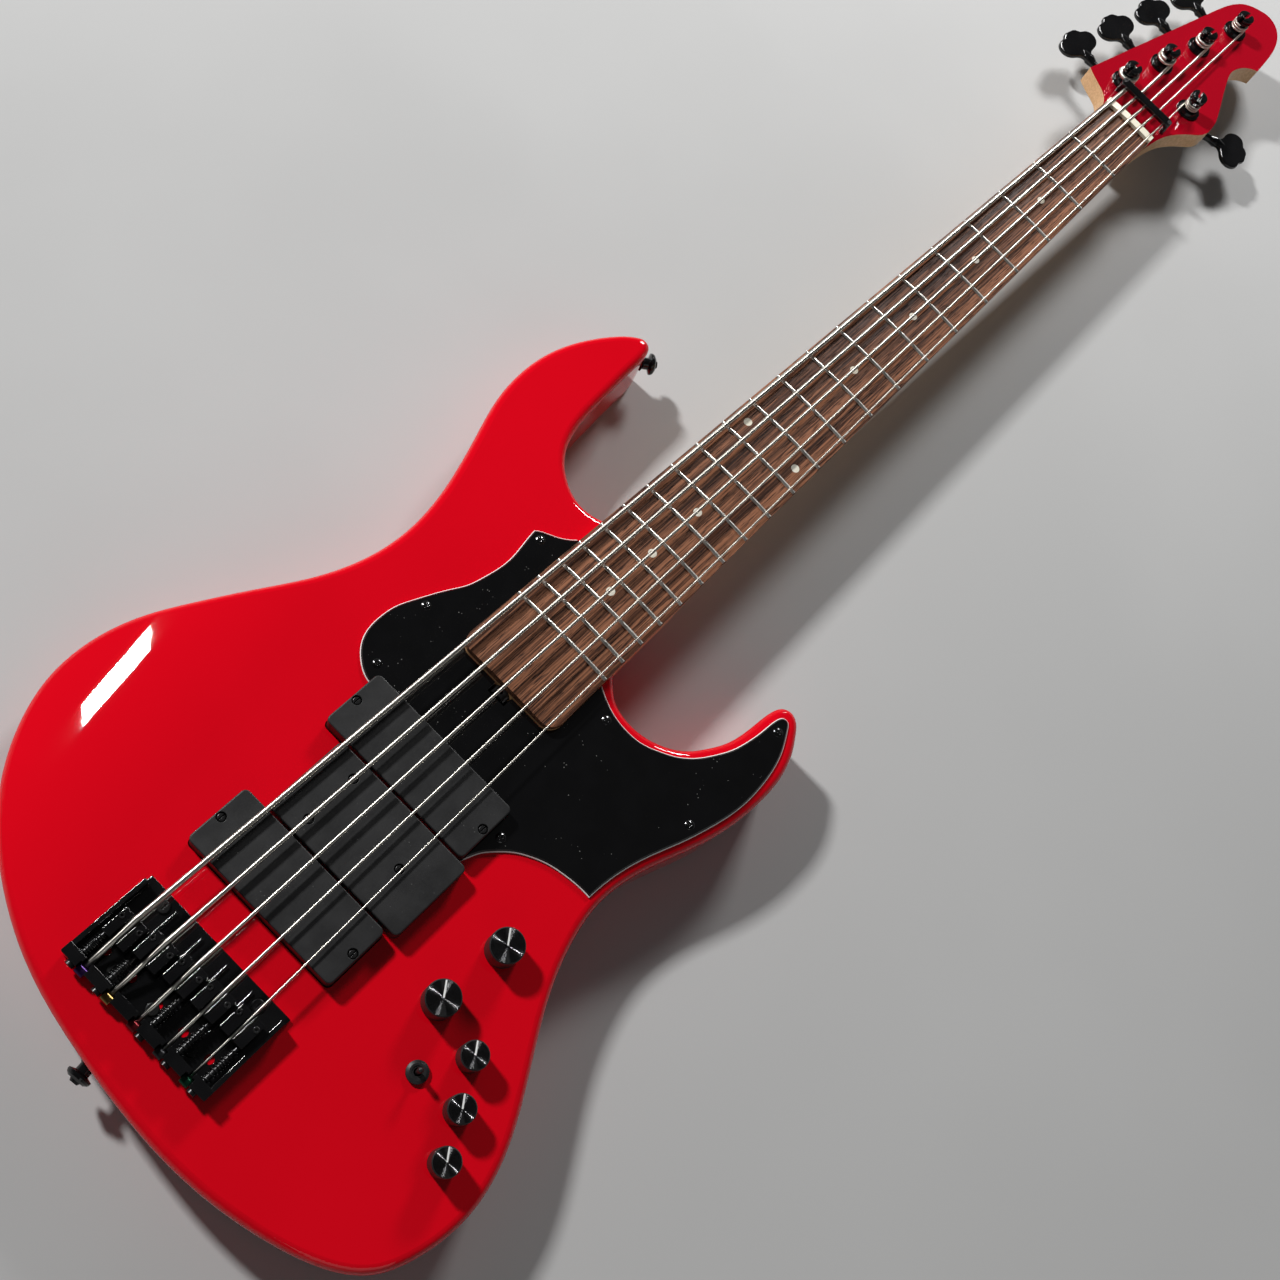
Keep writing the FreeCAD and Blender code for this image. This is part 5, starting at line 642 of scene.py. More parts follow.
BLACK = (0.004, 0.004, 0.0044)
BLACK_SHADE = (0.006, 0.006, 0.0065)
FINISHES = (
    Lacquer("red_lacquer", (0.72, 0.0010, 0.010), (0.69, 0.0008, 0.009)),
    # The headstock face gets the body's red at about half brightness: painted shade for the dimmer light on
    # the headstock.
    Lacquer("head_lacquer_painted_shade", (0.36, 0.0014, 0.011), (0.345, 0.0012, 0.010)),
    # Near-black paint for the walls and floors of the routes seen through the guard's notch.
    Plating("route_near_black", (0.006, 0.006, 0.006), (0.009, 0.009, 0.009), 0.7, specular=0.2),
    Timber("maple", (0.81, 0.49, 0.245), (0.69, 0.39, 0.178), (0.49, 0.25, 0.108), 0.36, 0.25, 0.00003,
           coat=0.25),
    Timber("rosewood", (0.31, 0.130, 0.068), (0.060, 0.0225, 0.0125), (0.012, 0.005, 0.004), 0.48, 0.9,
           0.00012, specular=0.16),
    Plating("fret_nickel", (0.78, 0.76, 0.71), (0.70, 0.68, 0.63), 0.35, metallic=1.0),
    Plating("cream_dot", (0.80, 0.76, 0.62), (0.86, 0.84, 0.74), 0.25, coat=0.3),
    Plating("bone_nut", (0.83, 0.77, 0.62), (0.78, 0.71, 0.55), 0.34, 0.06, coat=0.2),
    Plating("black_spring", (0.05, 0.05, 0.052), (0.035, 0.035, 0.036), 0.28, 0.06, 0.9),
    Plating("black_plating", BLACK, BLACK_SHADE, 0.16, coat=1.0, specular=0.0, edge=0.0003),
    Plating("black_casting", BLACK, BLACK_SHADE, 0.18, 0.06, coat=1.0, coat_roughness=0.035, specular=0.0,
            edge=0.0006),
    Plating("black_oxide", (0.018, 0.018, 0.019), (0.03, 0.03, 0.03), 0.3, 0.08, 0.6, edge=0.00025),
    Plating("dark_nickel", (0.11, 0.11, 0.112), (0.08, 0.08, 0.082), 0.16, metallic=1.0),
    Plating("guard_black", (0.0028, 0.0028, 0.003), (0.0035, 0.0035, 0.0038), 0.12, 0.04, coat=0.6,
            dust=0.35),
    PlyEdge("guard_edge", 0.0453, 0.04655, (0.004, 0.004, 0.0043), (0.93, 0.92, 0.90)),
    Plating("satin_cover", (0.014, 0.014, 0.0145), (0.019, 0.019, 0.0195), 0.46, 0.06, specular=0.4,
            grain_scale=2600.0, grain_depth=0.00005, dust=0.15, edge=0.0005),
    Plating("satin_black", (0.012, 0.012, 0.0125), (0.018, 0.018, 0.0185), 0.45, 0.06, specular=0.4,
            edge=0.0003),
    Plating("pointer_white", (0.86, 0.86, 0.84), (0.8, 0.8, 0.78), 0.4),
    Plating("coil_winding", (0.30, 0.10, 0.04), (0.22, 0.07, 0.03), 0.4, 0.08, 0.5),
    Plating("grey_foam", (0.06, 0.06, 0.06), (0.09, 0.09, 0.09), 0.95, 0.03, grain_scale=1500.0,
            grain_depth=0.0004),
    Plating("potted_block", (0.02, 0.02, 0.02), (0.03, 0.03, 0.03), 0.6, 0.1, grain_depth=0.00008),
    Plating("battery_case", (0.045, 0.05, 0.06), (0.06, 0.06, 0.07), 0.35, 0.08, 0.3),
    Plating("zinc_plate", (0.62, 0.61, 0.58), (0.55, 0.55, 0.54), 0.32, 0.08, 1.0),
    Plating("ball_purple", (0.035, 0.012, 0.075), (0.028, 0.01, 0.06), 0.25, metallic=0.8),
    Plating("ball_brass", (0.26, 0.17, 0.06), (0.20, 0.13, 0.05), 0.25, metallic=1.0),
    Plating("ball_red", (0.13, 0.010, 0.014), (0.10, 0.010, 0.012), 0.25, metallic=0.8),
    Plating("ball_dark", (0.03, 0.03, 0.033), (0.04, 0.04, 0.04), 0.25, metallic=0.8),
    Plating("ball_green", (0.008, 0.07, 0.035), (0.008, 0.055, 0.028), 0.25, metallic=0.8),
)


class Finishes(dict[str, Material]):
    """Materials of all finishes by name, each made on first use."""

    def __init__(self, groups: Groups) -> None:
        """Keep the shared groups and list the finishes by name."""
        self.groups = groups
        self.kinds = {finish.name: finish for finish in FINISHES}

    def __missing__(self, name: str) -> Material:
        """Make a finish's material."""
        self[name] = self.kinds[name].material(self.groups)
        return self[name]


def add_object(name: str, data: ID) -> Object:
    """New object in the scene.

    Args:
        name: Its name.
        data: Its mesh, lamp or camera.

    Returns:
        The object.
    """
    thing = bpy.data.objects.new(name, data)
    bpy.context.scene.collection.objects.link(thing)
    log.info("%s: added", name)
    return thing


def repaint(thing: Object, slot: Slot, test: Callable[[MeshPolygon], bool]) -> None:
    """Give the faces that pass a test another material slot.

    Args:
        thing: The object.
        slot: The material slot.
        test: Says which faces change.
    """
    for face in thing.data.polygons:
        if test(face):
            face.material_index = slot


def islands(mesh: Mesh) -> list[list[int]]:
    """Faces of a mesh, grouped by the solid that they belong to.

    Args:
        mesh: The mesh.

    Returns:
        Lists of face indices.
    """
    steps_per_metre = 1e7
    keys: dict[tuple[int, int, int], int] = {}
    alias = []
    for vertex in mesh.vertices:
        key = tuple(round(part * steps_per_metre) for part in vertex.co)
        alias.append(keys.setdefault(key, vertex.index))
    parent = list(range(len(mesh.vertices)))

    def top(index: int) -> int:
        """Root of a vertex's set.

        Args:
            index: The vertex.

        Returns:
            The root's index.
        """
        while parent[index] != index:
            parent[index] = parent[parent[index]]
            index = parent[index]
        return index

    for face in mesh.polygons:
        first = top(alias[face.vertices[0]])
        for other in face.vertices[1:]:
            parent[top(alias[other])] = first
    groups: dict[int, list[int]] = {}
    for face in mesh.polygons:
        groups.setdefault(top(alias[face.vertices[0]]), []).append(face.index)
    return list(groups.values())


def face_box(mesh: Mesh, faces: Iterable[int]) -> tuple[Vector, Vector]:
    """Lowest and highest corner of some faces.

    Args:
        mesh: The mesh.
        faces: Face indices.

    Returns:
        The two corners.
    """
    points = [mesh.vertices[index].co for face in faces for index in mesh.polygons[face].vertices]
    low = Vector([min(point[axis] for point in points) for axis in range(3)])
    high = Vector([max(point[axis] for point in points) for axis in range(3)])
    return low, high


def repaint_solids(thing: Object, choose: Callable[[Vector, Vector], int | None]) -> None:
    """Give each solid of a node the material slot that its box calls for.

    Args:
        thing: The node's object.
        choose: Slot by the lowest and the highest corner, or nothing to leave the solid as it is.
    """
    for faces in islands(thing.data):
        slot = choose(*face_box(thing.data, faces))
        for face in faces if slot is not None else ():
            thing.data.polygons[face].material_index = slot


def tube(name: str, points: Sequence[Vector], radius: float, sides: int,
         ridge: Ridge | None = None) -> Object:
    """Closed round tube along points, with its length kept as a UV map.

    Args:
        name: The new object's name.
        points: Centre line.
        radius: The tube's radius.
        sides: Vertices round the tube.
        ridge: Extra radius by distance and angle, or nothing.

    Returns:
        The object, linked to the scene.
    """
    mesh = bpy.data.meshes.new(name)
    form = bmesh.new()
    layer = form.loops.layers.uv.new("along")
    rings = []
    distances = []
    along = 0.0
    way = (points[1] - points[0]).normalized()
    side = way.orthogonal().normalized()
    for index, point in enumerate(points):
        if index:
            along += (point - points[index - 1]).length
        ahead = points[min(index + 1, len(points) - 1)] - points[max(index - 1, 0)]
        turned = way.rotation_difference(ahead.normalized())
        way = ahead.normalized()
        side = (turned @ side).normalized()
        up = way.cross(side)
        ring = []
        for corner in range(sides):
            angle = FULL_TURN * corner / sides
            reach = radius + (ridge(along, angle) if ridge else 0.0)
            ring.append(form.verts.new(point + (side * math.cos(angle) + up * math.sin(angle)) * reach))
        rings.append(ring)
        distances.append(along)
    for index in range(len(rings) - 1):
        for corner in range(sides):
            spots = ((corner, index), (corner + 1, index), (corner + 1, index + 1), (corner, index + 1))
            face = form.faces.new([rings[row][across % sides] for across, row in spots])
            face.smooth = True
            for loop, (across, row) in zip(face.loops, spots):
                loop[layer].uv = (across / sides, distances[row])
    form.faces.new(list(reversed(rings[0])))
    form.faces.new(rings[-1])
    form.to_mesh(mesh)
    form.free()
    return add_object(name, mesh)


def smooth_line(corners: Sequence[Vector], resolution: int) -> list[Vector]:
    """Points on a NURBS spline with given control points.

    Args:
        corners: Control points.
        resolution: Points for each of them.

    Returns:
        Points along the spline, without doubles.
    """
    least_step = 1e-6
    data = bpy.data.curves.new("line", "CURVE")
    data.dimensions = "3D"
    data.resolution_u = resolution
    spline = data.splines.new("NURBS")
    spline.points.add(len(corners) - 1)
    for point, corner in zip(spline.points, corners):
        point.co = (*corner, 1.0)
    spline.order_u = 3
    spline.use_endpoint_u = True
    holder = bpy.data.objects.new("line", data)
    mesh = bpy.data.meshes.new_from_object(holder)
    points = [vertex.co.copy() for vertex in mesh.vertices]
    bpy.data.meshes.remove(mesh)
    bpy.data.objects.remove(holder)
    bpy.data.curves.remove(data)
    kept = [points[0]]
    for point in points[1:]:
        if (point - kept[-1]).length > least_step:
            kept.append(point)
    return kept


@dataclass
class Assembly:
    """Sub-assembly, with the nodes that take one finish all over."""

    finishes: Finishes
    plain: Pairs = ()

    def build(self) -> None:
        """Dress the plain nodes."""
        for node, finish in self.plain:
            self.dress(node, finish)

    def dress(self, node: str, *names: str) -> Object:
        """Give a CAD node its finishes, the first one all over.

        Args:
            node: The node's name.
            names: Names of the finishes for its slots.

        Returns:
            The node's object.
        """
        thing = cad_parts[node]
        thing.data.materials.clear()
        for name in names:
            thing.data.materials.append(self.finishes[name])
        for face in thing.data.polygons:
            face.material_index = Slot.MAIN
        log.info("%s: %s", node, ", ".join(names))
        return thing


@dataclass
class Woodwork(Assembly):
    """Body, neck, fingerboard and what is let into them."""

    plain: Pairs = (
        ("fingerboard", "rosewood"), ("frets", "fret_nickel"), ("position_dots", "cream_dot"),
        ("nut", "bone_nut"), ("truss_rod", "black_oxide"), ("neck_ferrules", "black_plating"),
        ("neck_screws", "black_oxide"))
    nut_back: float = 0.8692
    shelf: float = 0.0491
    head_back: float = 0.0305
    head_slope: float = 0.25
    route_start: float = 0.15
    route_end: float = 0.24
    route_half: float = 0.03
    route_floor: float = 0.004
    route_top: float = 0.0447

    def build(self) -> None:
        """Dress every wooden piece and its inlays."""
        super().build()
        body = self.dress("body", "red_lacquer", "route_near_black")
        # The route walls and floors at the neck's end take near-black paint.
        repaint(body, Slot.SECOND, self._is_cavity)
        neck = self.dress("neck", "maple", "head_lacquer_painted_shade")
        # The headstock's top face takes the darker copy of the red, which is painted shade.
        repaint(neck, Slot.SECOND, self._is_head_face)

    def _is_cavity(self, face: MeshPolygon) -> bool:
        """True for the walls and floors of the routes under the guard and the neck's end."""
        inside = self.route_start < face.center.x < self.route_end and abs(face.center.y) < self.route_half
        return inside and self.route_floor < face.center.z < self.route_top

    def _is_head_face(self, face: MeshPolygon) -> bool:
        """True for the painted top of the headstock, up to the nut."""
        high = self.head_back < face.center.z < self.shelf
        return face.center.x > self.nut_back and face.normal.z > self.head_slope and high


@dataclass
class Electronics(Assembly):
    """Pickups, guard, knobs, switch, jack and what lies under them."""

    plain: Pairs = (
        ("pickup_bridge", "satin_cover"), ("pickup_neck", "satin_cover"), ("finger_ramp", "satin_cover"),
        ("pickup_screws", "black_oxide"), ("pickup_coils", "coil_winding"), ("pickup_foam", "grey_foam"),
        ("potentiometers", "zinc_plate"), ("toggle_switch", "satin_black"), ("toggle_lever", "satin_black"),
        ("output_jack", "black_plating"), ("control_cover", "guard_black"),
        ("preamp_module", "potted_block"), ("battery", "battery_case"))
    knobs: tuple[str, ...] = ("volume_knob", "blend_knob", "treble_knob", "middle_knob", "bass_knob")
    flat_limit: float = 0.95
    knob_top: float = 0.0612
    shaft_width: float = 0.0075
    pointer_angle: float = 36.0
    pointer_half: float = 0.00046
    turned: TurnedTop = TurnedTop("turned_top", (0.065, 0.065, 0.067), (0.05, 0.05, 0.052))

    def build(self) -> None:
        """Dress the guard, the pickups and the controls."""
        super().build()
        guard = self.dress("pickguard", "guard_black", "guard_edge")
        repaint(guard, Slot.SECOND, lambda face: abs(face.normal.z) < self.flat_limit)
        for name in self.knobs:
            self._knob(name)

    def _knob(self, name: str) -> None:
        """Dress one knob: satin side, turned top, white pointer and zinc shaft.

        Args:
            name: The knob's node.
        """
        low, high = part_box(name)
        axis = ((low[0] + high[0]) / 2, (low[1] + high[1]) / 2, 0.0)
        top = f"{name}_top"
        self.finishes[top] = self.turned.material(self.finishes.groups, axis)
        knob = self.dress(name, "satin_black", top, "pointer_white", "zinc_plate")
        repaint(knob, Slot.SECOND, self._is_top)
        repaint(knob, Slot.POINTER, lambda face: self._is_pointer(face, axis))
        repaint_solids(knob, self._shaft_slot)

    def _is_top(self, face: MeshPolygon) -> bool:
        """True for the flat top of a knob."""
        return face.normal.z > self.flat_limit and face.center.z > self.knob_top

    def _shaft_slot(self, low: Vector, high: Vector) -> Slot | None:
        """Slot of the zinc for a knob's shaft, and nothing for its other solids."""
        return Slot.SHAFT if high.x - low.x < self.shaft_width and high.z < self.knob_top else None

    def _is_pointer(self, face: MeshPolygon, axis: Point) -> bool:
        """True for the inlaid line on a knob's top.

        Args:
            face: A face of the knob.
            axis: A point on the knob's axis.

        Returns:
            Whether the face lies on the line.
        """
        angle = math.radians(self.pointer_angle)
        out = Vector((math.cos(angle), math.sin(angle)))
        spot = face.center.xy - Vector(axis).xy
        across = abs(spot.x * out.y - spot.y * out.x)
        return face.center.z > self.knob_top and across < self.pointer_half and spot.dot(out) > 0.0


@dataclass
class CoverScrews(Assembly):
    """Oval-head screws of the guard and the control cover, with their cross recesses."""

    head_radius: float = 0.0029
    crown: float = 0.0009
    back_crown: float = 0.0002
    back_level: float = 0.02
    profile: tuple[tuple[float, float], ...] = ((0.0014, 0.0015), (0.0014, 0.0112), (0.0004, 0.012))
    arm_half: float = 0.00036
    arm_length: float = 0.0015
    arm_depth: float = 0.0009
    arm_rise: float = 0.5
    rings: int = 16
    corners: int = 48
    turn_step: float = 25.0

    def build(self) -> None:
        """Make a screw at the place of each CAD one."""
        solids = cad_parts["cover_screws"].data
        mesh = bpy.data.meshes.new("oval_screws")
        form = bmesh.new()
        for index, faces in enumerate(islands(solids)):
            low, high = face_box(solids, faces)
            front = low.z > self.back_level
            head = Vector(((low.x + high.x) / 2, (low.y + high.y) / 2, high.z if front else low.z))
            self._screw(form, head, 1 if front else -1, math.radians(self.turn_step * index))
        bmesh.ops.recalc_face_normals(form, faces=form.faces)
        form.to_mesh(mesh)
        form.free()
        screws = add_object("oval_screws", mesh)
        mesh.materials.append(self.finishes["dark_nickel"])
        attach(screws, ROOT)
        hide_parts("cover_screws")

    def _screw(self, form: bmesh.types.BMesh, head: Vector, up: int, turn: float) -> None:
        """Add one screw.

        Args:
            form: The mesh to add to.
            head: Middle of the head's rim.
            up: 1 for a screw that faces up, -1 for one that faces down.
            turn: Angle of its recess.
        """
        crown = self.crown if up > 0 else self.back_crown
        middle = form.verts.new(head + Vector((0.0, 0.0, up * (crown - self.arm_depth))))
        loops = []
        for ring in range(1, self.rings + 1):
            radius = self.head_radius * ring / self.rings
            dome = crown * (1.0 - (ring / self.rings) ** 2)
            loops.append(self._loop(
                form, head, radius, lambda angle: up * (dome - self._recess(radius, angle - turn))))
        for radius, depth in self.profile:
            loops.append(self._loop(form, head, radius, lambda _: -up * depth))
        for corner in range(self.corners):
            after = (corner + 1) % self.corners
            form.faces.new((middle, loops[0][corner], loops[0][after])).smooth = True
            for inner, outer in zip(loops, loops[1:]):
                quad = (inner[corner], outer[corner], outer[after], inner[after])
                form.faces.new(quad).smooth = True
        form.faces.new(loops[-1])

    def _loop(self, form: bmesh.types.BMesh, head: Vector, radius: float,
              level: Callable[[float], float]) -> list[bmesh.types.BMVert]:
        """Add a ring of corners about a screw's axis.

        Args:
            form: The mesh to add to.
            head: Middle of the head's rim.
            radius: The ring's radius.
            level: Height over the rim by angle.

        Returns:
            The ring's vertices.
        """
        loop = []
        for corner in range(self.corners):
            angle = FULL_TURN * corner / self.corners
            spot = Vector((radius * math.cos(angle), radius * math.sin(angle), level(angle)))
            loop.append(form.verts.new(head + spot))
        return loop

    def _recess(self, radius: float, angle: float) -> float:
        """Depth of the cross recess at a place on the head.

        Args:
            radius: Distance from the axis.
            angle: Angle from one of the cross's arms.

        Returns:
            The depth.
        """
        across = radius * min(abs(math.sin(angle)), abs(math.cos(angle)))
        along = radius * max(abs(math.sin(angle)), abs(math.cos(angle)))
        if across > self.arm_half or along > self.arm_length:
            return 0.0
        return self.arm_depth * (1.0 - self.arm_rise * along / self.arm_length)


@dataclass
class Bridge(Assembly):
    """Bridge, saddles, their screws and springs, and the ball ends."""

    plain: Pairs = (
        ("bridge_plate", "black_casting"), ("bridge_screws", "black_oxide"),
        *((f"intonation_screw_{number}", "black_oxide") for number in range(1, 6)))
    sides: tuple[int, ...] = (1, 1, -1, -1, -1)
    height_screw_width: float = 0.005
    screw_offset: float = 0.0059
    screw_level: float = 0.052
    wall_front: float = -0.0348
    spring_radius: float = 0.0024
    spring_wire: float = 0.0007
    spring_margin: float = 0.75
    spring_turns: int = 9
    spring_steps: int = 16
    spring_sides: int = 8
    end_closeness: float = 0.06
    ball_colors: tuple[str, ...] = ("ball_purple", "ball_brass", "ball_red", "ball_dark", "ball_green")

    def build(self) -> None:
        """Dress the bridge and wind its springs."""
        super().build()
        for index, line in enumerate(STRING_LINES):
            saddle = self.dress(f"saddle_{index + 1}", "black_casting", "black_oxide")
            repaint_solids(saddle, self._screw_slot)
            self._spring(index, line)
        balls = self.dress("string_ball_ends", *self.ball_colors)
        repaint_solids(balls, self._nearest_string)

    def _screw_slot(self, low: Vector, high: Vector) -> Slot | None:
        """Slot of the oxide for a saddle's height screw, and nothing for the saddle itself."""
        return Slot.SECOND if high.x - low.x < self.height_screw_width else None

    @staticmethod
    def _nearest_string(low: Vector, high: Vector) -> int:
        """Number of the string that a solid belongs to, by its box."""
        middle = (low.y + high.y) / 2
        return min(range(len(STRING_LINES)), key=lambda index: abs(STRING_LINES[index] - middle))

    def _spring(self, index: int, line: float) -> None:
        """Wind the spring between the rear wall and one saddle.

        Args:
            index: Number of the string, from the thickest.
            line: Distance of the string from the centre line.
        """
        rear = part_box(f"saddle_{index + 1}")[0][0]
        margin = self.spring_wire * self.spring_margin
        start = self.wall_front + margin
        end = rear - margin
        centre = Vector((0.0, line + self.sides[index] * self.screw_offset, self.screw_level))
        steps = self.spring_steps * self.spring_turns
        points = []
        for step in range(steps + 1):
            share = step / steps
            ease = share + self.end_closeness * math.sin(FULL_TURN * share)
            angle = FULL_TURN * self.spring_turns * share
            offset = Vector((0.0, math.cos(angle), math.sin(angle))) * self.spring_radius
            points.append(centre + offset + Vector((start + (end - start) * ease, 0.0, 0.0)))
        spring = tube(f"spring_{index + 1}", points, self.spring_wire / 2, self.spring_sides)
        spring.data.materials.append(self.finishes["black_spring"])
        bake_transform(spring)
        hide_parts("intonation_springs")


@dataclass
class Strings(Assembly):
    """Wound strings from the ball ends to their turns on the posts, parted at the saddles' crests."""

    names: tuple[str, ...] = ("string_low_b", "string_e", "string_a", "string_d", "string_g")
    gauges: tuple[float, ...] = (0.0033, 0.00267, 0.00216, 0.00165, 0.00114)
    pitches: tuple[float, ...] = (0.0006, 0.0005, 0.00045, 0.0004, 0.00035)
    setbacks: tuple[float, ...] = (0.0074, 0.004514, 0.002516, 0.00111, -0.000666)
    posts: tuple[tuple[float, float], ...] = (
        (0.9064, 0.026016), (0.949414, 0.01632), (0.992428, 0.006912), (1.035442, -0.002592),
        (0.931866, -0.02304))
    quarters: tuple[int, ...] = (5, 7, 9, 11, 13)
    sides: int = 14
    nut_spread: float = 0.0374
    crown: float = 0.305
    fret_top: float = 0.0561
    saddle_lift: float = 0.0039
    nut_lift: float = 0.0005
    nut_middle: float = 0.8664
    tail_place: float = -0.0373
    tail_level: float = 0.0512
    bar_place: float = 0.8928
    bar_level: float = 0.0506
    bend_reach: float = 0.0016
    waist: float = 0.00465
    seat: float = 0.04755
    turn_gap: float = 0.00055
    turn_steps: int = 20
    line_resolution: int = 6
    twist_length: float = 0.017
    twist_pitch: float = 0.0022
    twist_swell: float = 0.00016
    twist_strands: int = 2
    twist_fade: float = 0.002
    crest_reach: float = 0.006
    give_length: float = 0.06

    def build(self) -> None:
        """Draw each string along a smooth line and dress it."""
        for index, name in enumerate(self.names):
            points = self._line(index)
            crest = min(range(len(points)), key=lambda spot: abs(points[spot].x + self.setbacks[index]))
            wire = WoundWire(f"{name}_wire", self.pitches[index]).material(self.finishes.groups)
            saddle = f"saddle_{index + 1}"
            edge = (STRING_LINES[index], points[crest].z)
            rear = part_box(saddle)[0][0]
            tail = self._length(index, f"{name}_tail", points[:crest + 2], wire, self._twist)
            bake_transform(tail)
            string = self._length(index, name, points[crest:], wire)
            ahead = points[crest].x + self.crest_reach
            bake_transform(string)

    def _length(self, index: int, name: str, points: Sequence[Vector], wire: Material,
                ridge: Ridge | None = None) -> Object:
        """Draw one length of a string.

        Args:
            index: Number of the string, from the thickest.
            name: Name of the length.
            points: Its centre line.
            wire: Its material.
            ridge: Extra radius by distance and angle, or nothing.

        Returns:
            The length's object.
        """
        length = tube(name, points, self.gauges[index] / 2, self.sides, ridge)
        length.data.materials.append(wire)
        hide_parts("strings")
        return length

    def _twist(self, along: float, angle: float) -> float:
        """Rope-like swell where a string's core is twisted back on itself at the ball.

        Args:
            along: Distance from the ball.
            angle: Angle round the string.

        Returns:
            Extra radius.
        """
        fade = max(0.0, min(1.0, (self.twist_length - along) / self.twist_fade))
        phase = self.twist_strands * angle - FULL_TURN * along / self.twist_pitch
        return fade * self.twist_swell * math.cos(phase)

    def _drop(self, across: float) -> float:
        """Drop of the fingerboard's crown at a distance from its centre line."""
        return self.crown - math.sqrt(self.crown ** 2 - across ** 2)

    def _line(self, index: int) -> list[Vector]:
        """Centre line of one string.

        Args:
            index: Number of the string, from the thickest.

        Returns:
            Points on a smooth line.
        """
        radius = self.gauges[index] / 2
        line = STRING_LINES[index]
        final = len(STRING_LINES) - 1
        spin = -1 if index == final else 1
        nut_line = (0.5 - index / final) * self.nut_spread
        tail = Vector((self.tail_place, line, self.tail_level))
        saddle_level = self.fret_top + self.saddle_lift - self._drop(line) + radius
        nut_level = self.fret_top + self.nut_lift - self._drop(nut_line) + radius
        saddle = Vector((-self.setbacks[index], line, saddle_level))
        nut = Vector((self.nut_middle, nut_line, nut_level))
        post = Vector((*self.posts[index], 0.0))
        winding = self.waist + radius
        run = (post - nut).xy
        heading = math.atan2(run.y, run.x) - spin * math.asin(winding / run.length)
        way = Vector((math.cos(heading), math.sin(heading), 0.0))
        touch = nut + way * math.sqrt(run.length ** 2 - winding ** 2)
        touch.z = self.seat + radius
        bar = nut + way * ((self.bar_place - nut.x) / way.x)
        bar.z = self.bar_level - radius
        pitch = self.gauges[index] + self.turn_gap
        before = touch - (way + Vector((0.0, 0.0, pitch / (FULL_TURN * winding)))) * winding
        stops = (tail, saddle, nut, bar, before)
        corners = [tail]
        for behind, stop, ahead in zip(stops, stops[1:], stops[2:]):
            corners += self._bend(behind, stop, ahead)
        corners.append(before)
        start = math.atan2(touch.y - post.y, touch.x - post.x)
        step_angle = FULL_TURN / self.turn_steps
        grow = winding / math.cos(step_angle / 2)
        for step in range(self.quarters[index] * self.turn_steps // 4 + 1):
            angle = start + spin * (step + 0.5) * step_angle
            level = touch.z + pitch * (step + 0.5) / self.turn_steps
            corners.append(Vector((post.x + grow * math.cos(angle), post.y + grow * math.sin(angle), level)))
        return smooth_line(corners, self.line_resolution)

    def _bend(self, behind: Vector, stop: Vector, ahead: Vector) -> list[Vector]:
        """A corner with a point close on each side of it, so that the smooth line bends there.

        Args:
            behind: Point before the corner.
            stop: The corner.
            ahead: Point after it.

        Returns:
            Three points.
        """
        near = stop + (behind - stop).normalized() * self.bend_reach
        far = stop + (ahead - stop).normalized() * self.bend_reach
        return [near, stop, far]


@dataclass
class Headstock(Assembly):
    """Tuners, retainer bar and their screws."""

    plain: Pairs = (
        ("tuner_housings", "black_plating"), ("tuner_bushings", "black_plating"),
        ("string_retainer", "black_plating"), ("headstock_screws", "black_oxide"),
        *((f"tuner_key_{number}", "black_casting") for number in range(1, 6)),
        *((f"tuner_post_{number}", "black_plating") for number in range(1, 6)))


@dataclass
class StrapHardware(Assembly):
    """Strap buttons and their screws."""

    plain: Pairs = (("strap_buttons", "black_plating"), ("strap_button_screws", "black_oxide"))


@dataclass(frozen=True)
class Lamp:
    """Soft rectangular lamp that faces a target."""

    name: str
    place: Point
    target: Point
    size: tuple[float, float]
    power: float
    spread: float

    def build(self) -> None:
        """Add the lamp to the scene."""
        data = bpy.data.lights.new(self.name, "AREA")
        data.shape = "RECTANGLE"
        data.size, data.size_y = self.size
        data.energy = self.power
        data.spread = math.radians(self.spread)
        lamp = add_object(self.name, data)
        lamp.location = self.place
        lamp.rotation_mode = "QUATERNION"
        lamp.rotation_quaternion = (Vector(self.target) - Vector(self.place)).to_track_quat("-Z", "Y")


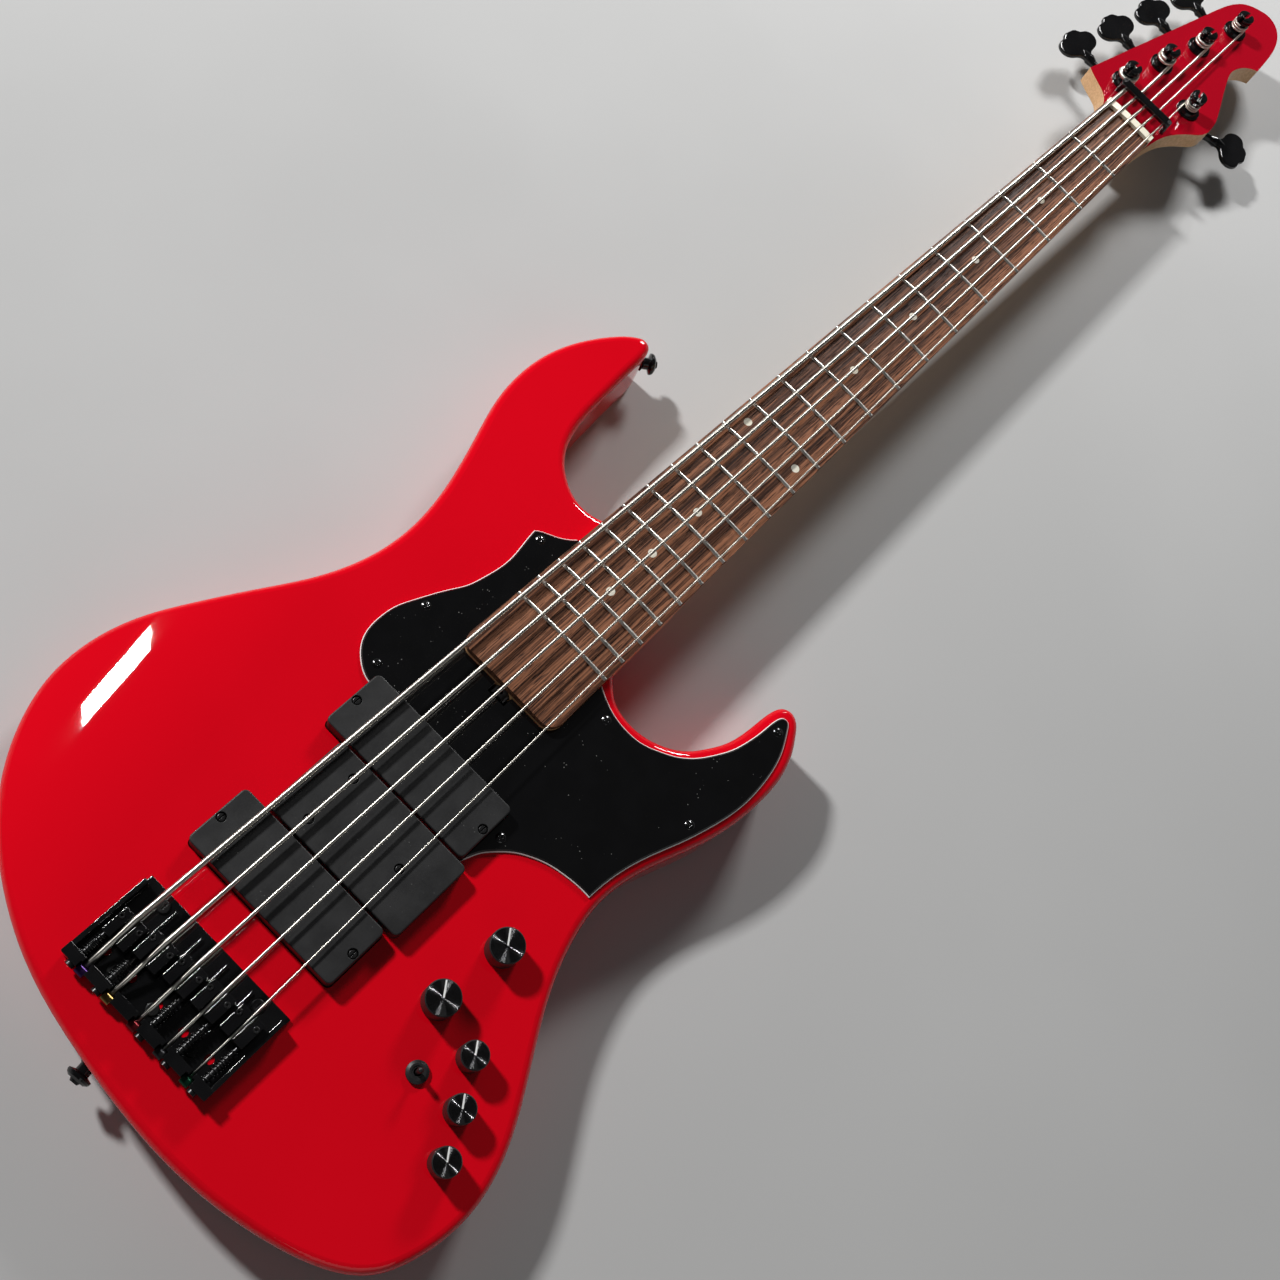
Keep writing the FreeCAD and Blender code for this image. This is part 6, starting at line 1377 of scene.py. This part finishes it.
@dataclass
class Studio:
    """Pale floor, soft lamps and the camera at the photograph's angle."""

    groups: Groups
    eye: Point = (-0.0771, -0.0819, 0.8145)
    forward: Point = (0.43269, 0.05958, -0.89957)
    upward: Point = (0.61788, 0.70701, 0.34403)
    lens: float = 42.1875
    sensor: float = 36.0
    nearest: float = 0.01
    farthest: float = 50.0
    floor_level: float = -0.0006
    floor_half: float = 14.0
    floor_color: Color = (0.52, 0.52, 0.515)
    floor_shade: float = 0.95
    floor_cloud: float = 2.5
    floor_roughness: float = 0.85
    floor_spread: float = 0.04
    floor_smudge: float = 5.0
    zenith: Color = (0.035, 0.035, 0.036)
    horizon: Color = (0.30, 0.30, 0.30)
    horizon_height: float = 0.5
    lamps: tuple[Lamp, ...] = (
        Lamp("key", (0.31, 2.30, 2.04), (0.3, 0.0, 0.04), (0.24, 0.30), 55.0, 150.0),
        Lamp("side", (1.75, 0.42, 0.92), (0.8, 0.0, 0.04), (0.35, 0.30), 14.0, 180.0),
        Lamp("fill", (-1.3, -1.5, 1.5), (0.3, 0.0, 0.0), (1.6, 1.2), 3.0, 180.0),
    )

    def build(self) -> None:
        """Set the whole stage."""
        self._floor()
        self._sky()
        for lamp in self.lamps:
            lamp.build()
        self._camera()
        bpy.context.scene.view_settings.view_transform = "Standard"

    def _floor(self) -> None:
        """Large plain floor with faint clouding."""
        mesh = bpy.data.meshes.new("floor")
        signs = ((-1, -1), (1, -1), (1, 1), (-1, 1))
        corners = [(x * self.floor_half, y * self.floor_half, self.floor_level) for x, y in signs]
        mesh.from_pydata(corners, [], [(0, 1, 2, 3)])
        floor = add_object("floor", mesh)
        paint = Paint(self.groups, "floor_grey")
        shade = tuple(self.floor_shade * part for part in self.floor_color)
        paint.cover(Base_Color=paint.tone(self.floor_color, shade, self.floor_cloud)["Color"],
                    Roughness=paint.gloss(self.floor_roughness, self.floor_spread, self.floor_smudge))
        mesh.materials.append(paint.material)

    def _sky(self) -> None:
        """Pale walls all round under a dark ceiling."""
        world = bpy.data.worlds.new("room")
        world.use_nodes = True
        tree = Tree(world.node_tree)
        height = tree.part(tree.add("ShaderNodeTexCoord").outputs["Generated"], "Z")
        tone = tree.mix(tree.span(height, 0.0, self.horizon_height), self.horizon, self.zenith)
        tree.fill(world.node_tree.nodes["Background"].inputs["Color"], tone)
        bpy.context.scene.world = world

    def _camera(self) -> None:
        """Camera with the photograph's place, aim and field of view."""
        data = bpy.data.cameras.new("camera")
        data.sensor_width = self.sensor
        data.lens = self.lens
        data.clip_start = self.nearest
        data.clip_end = self.farthest
        back = -Vector(self.forward).normalized()
        right = Vector(self.upward).cross(back).normalized()
        up = back.cross(right)
        turn = Matrix((right, up, back)).transposed().to_4x4()
        camera = add_object("camera", data)
        camera.matrix_world = Matrix.Translation(self.eye) @ turn
        bpy.context.scene.camera = camera


def main() -> None:
    """Build every sub-assembly in order."""
    logging.basicConfig(level=logging.INFO, format="%(name)s: %(message)s")
    groups = Groups()
    finishes = Finishes(groups)
    Studio(groups).build()
    for kind in (Woodwork, Electronics, CoverScrews, Bridge, Strings, Headstock, StrapHardware):
        kind(finishes).build()
        log.info("%s dressed", kind.__name__)


if __name__ == "__main__":
    main()
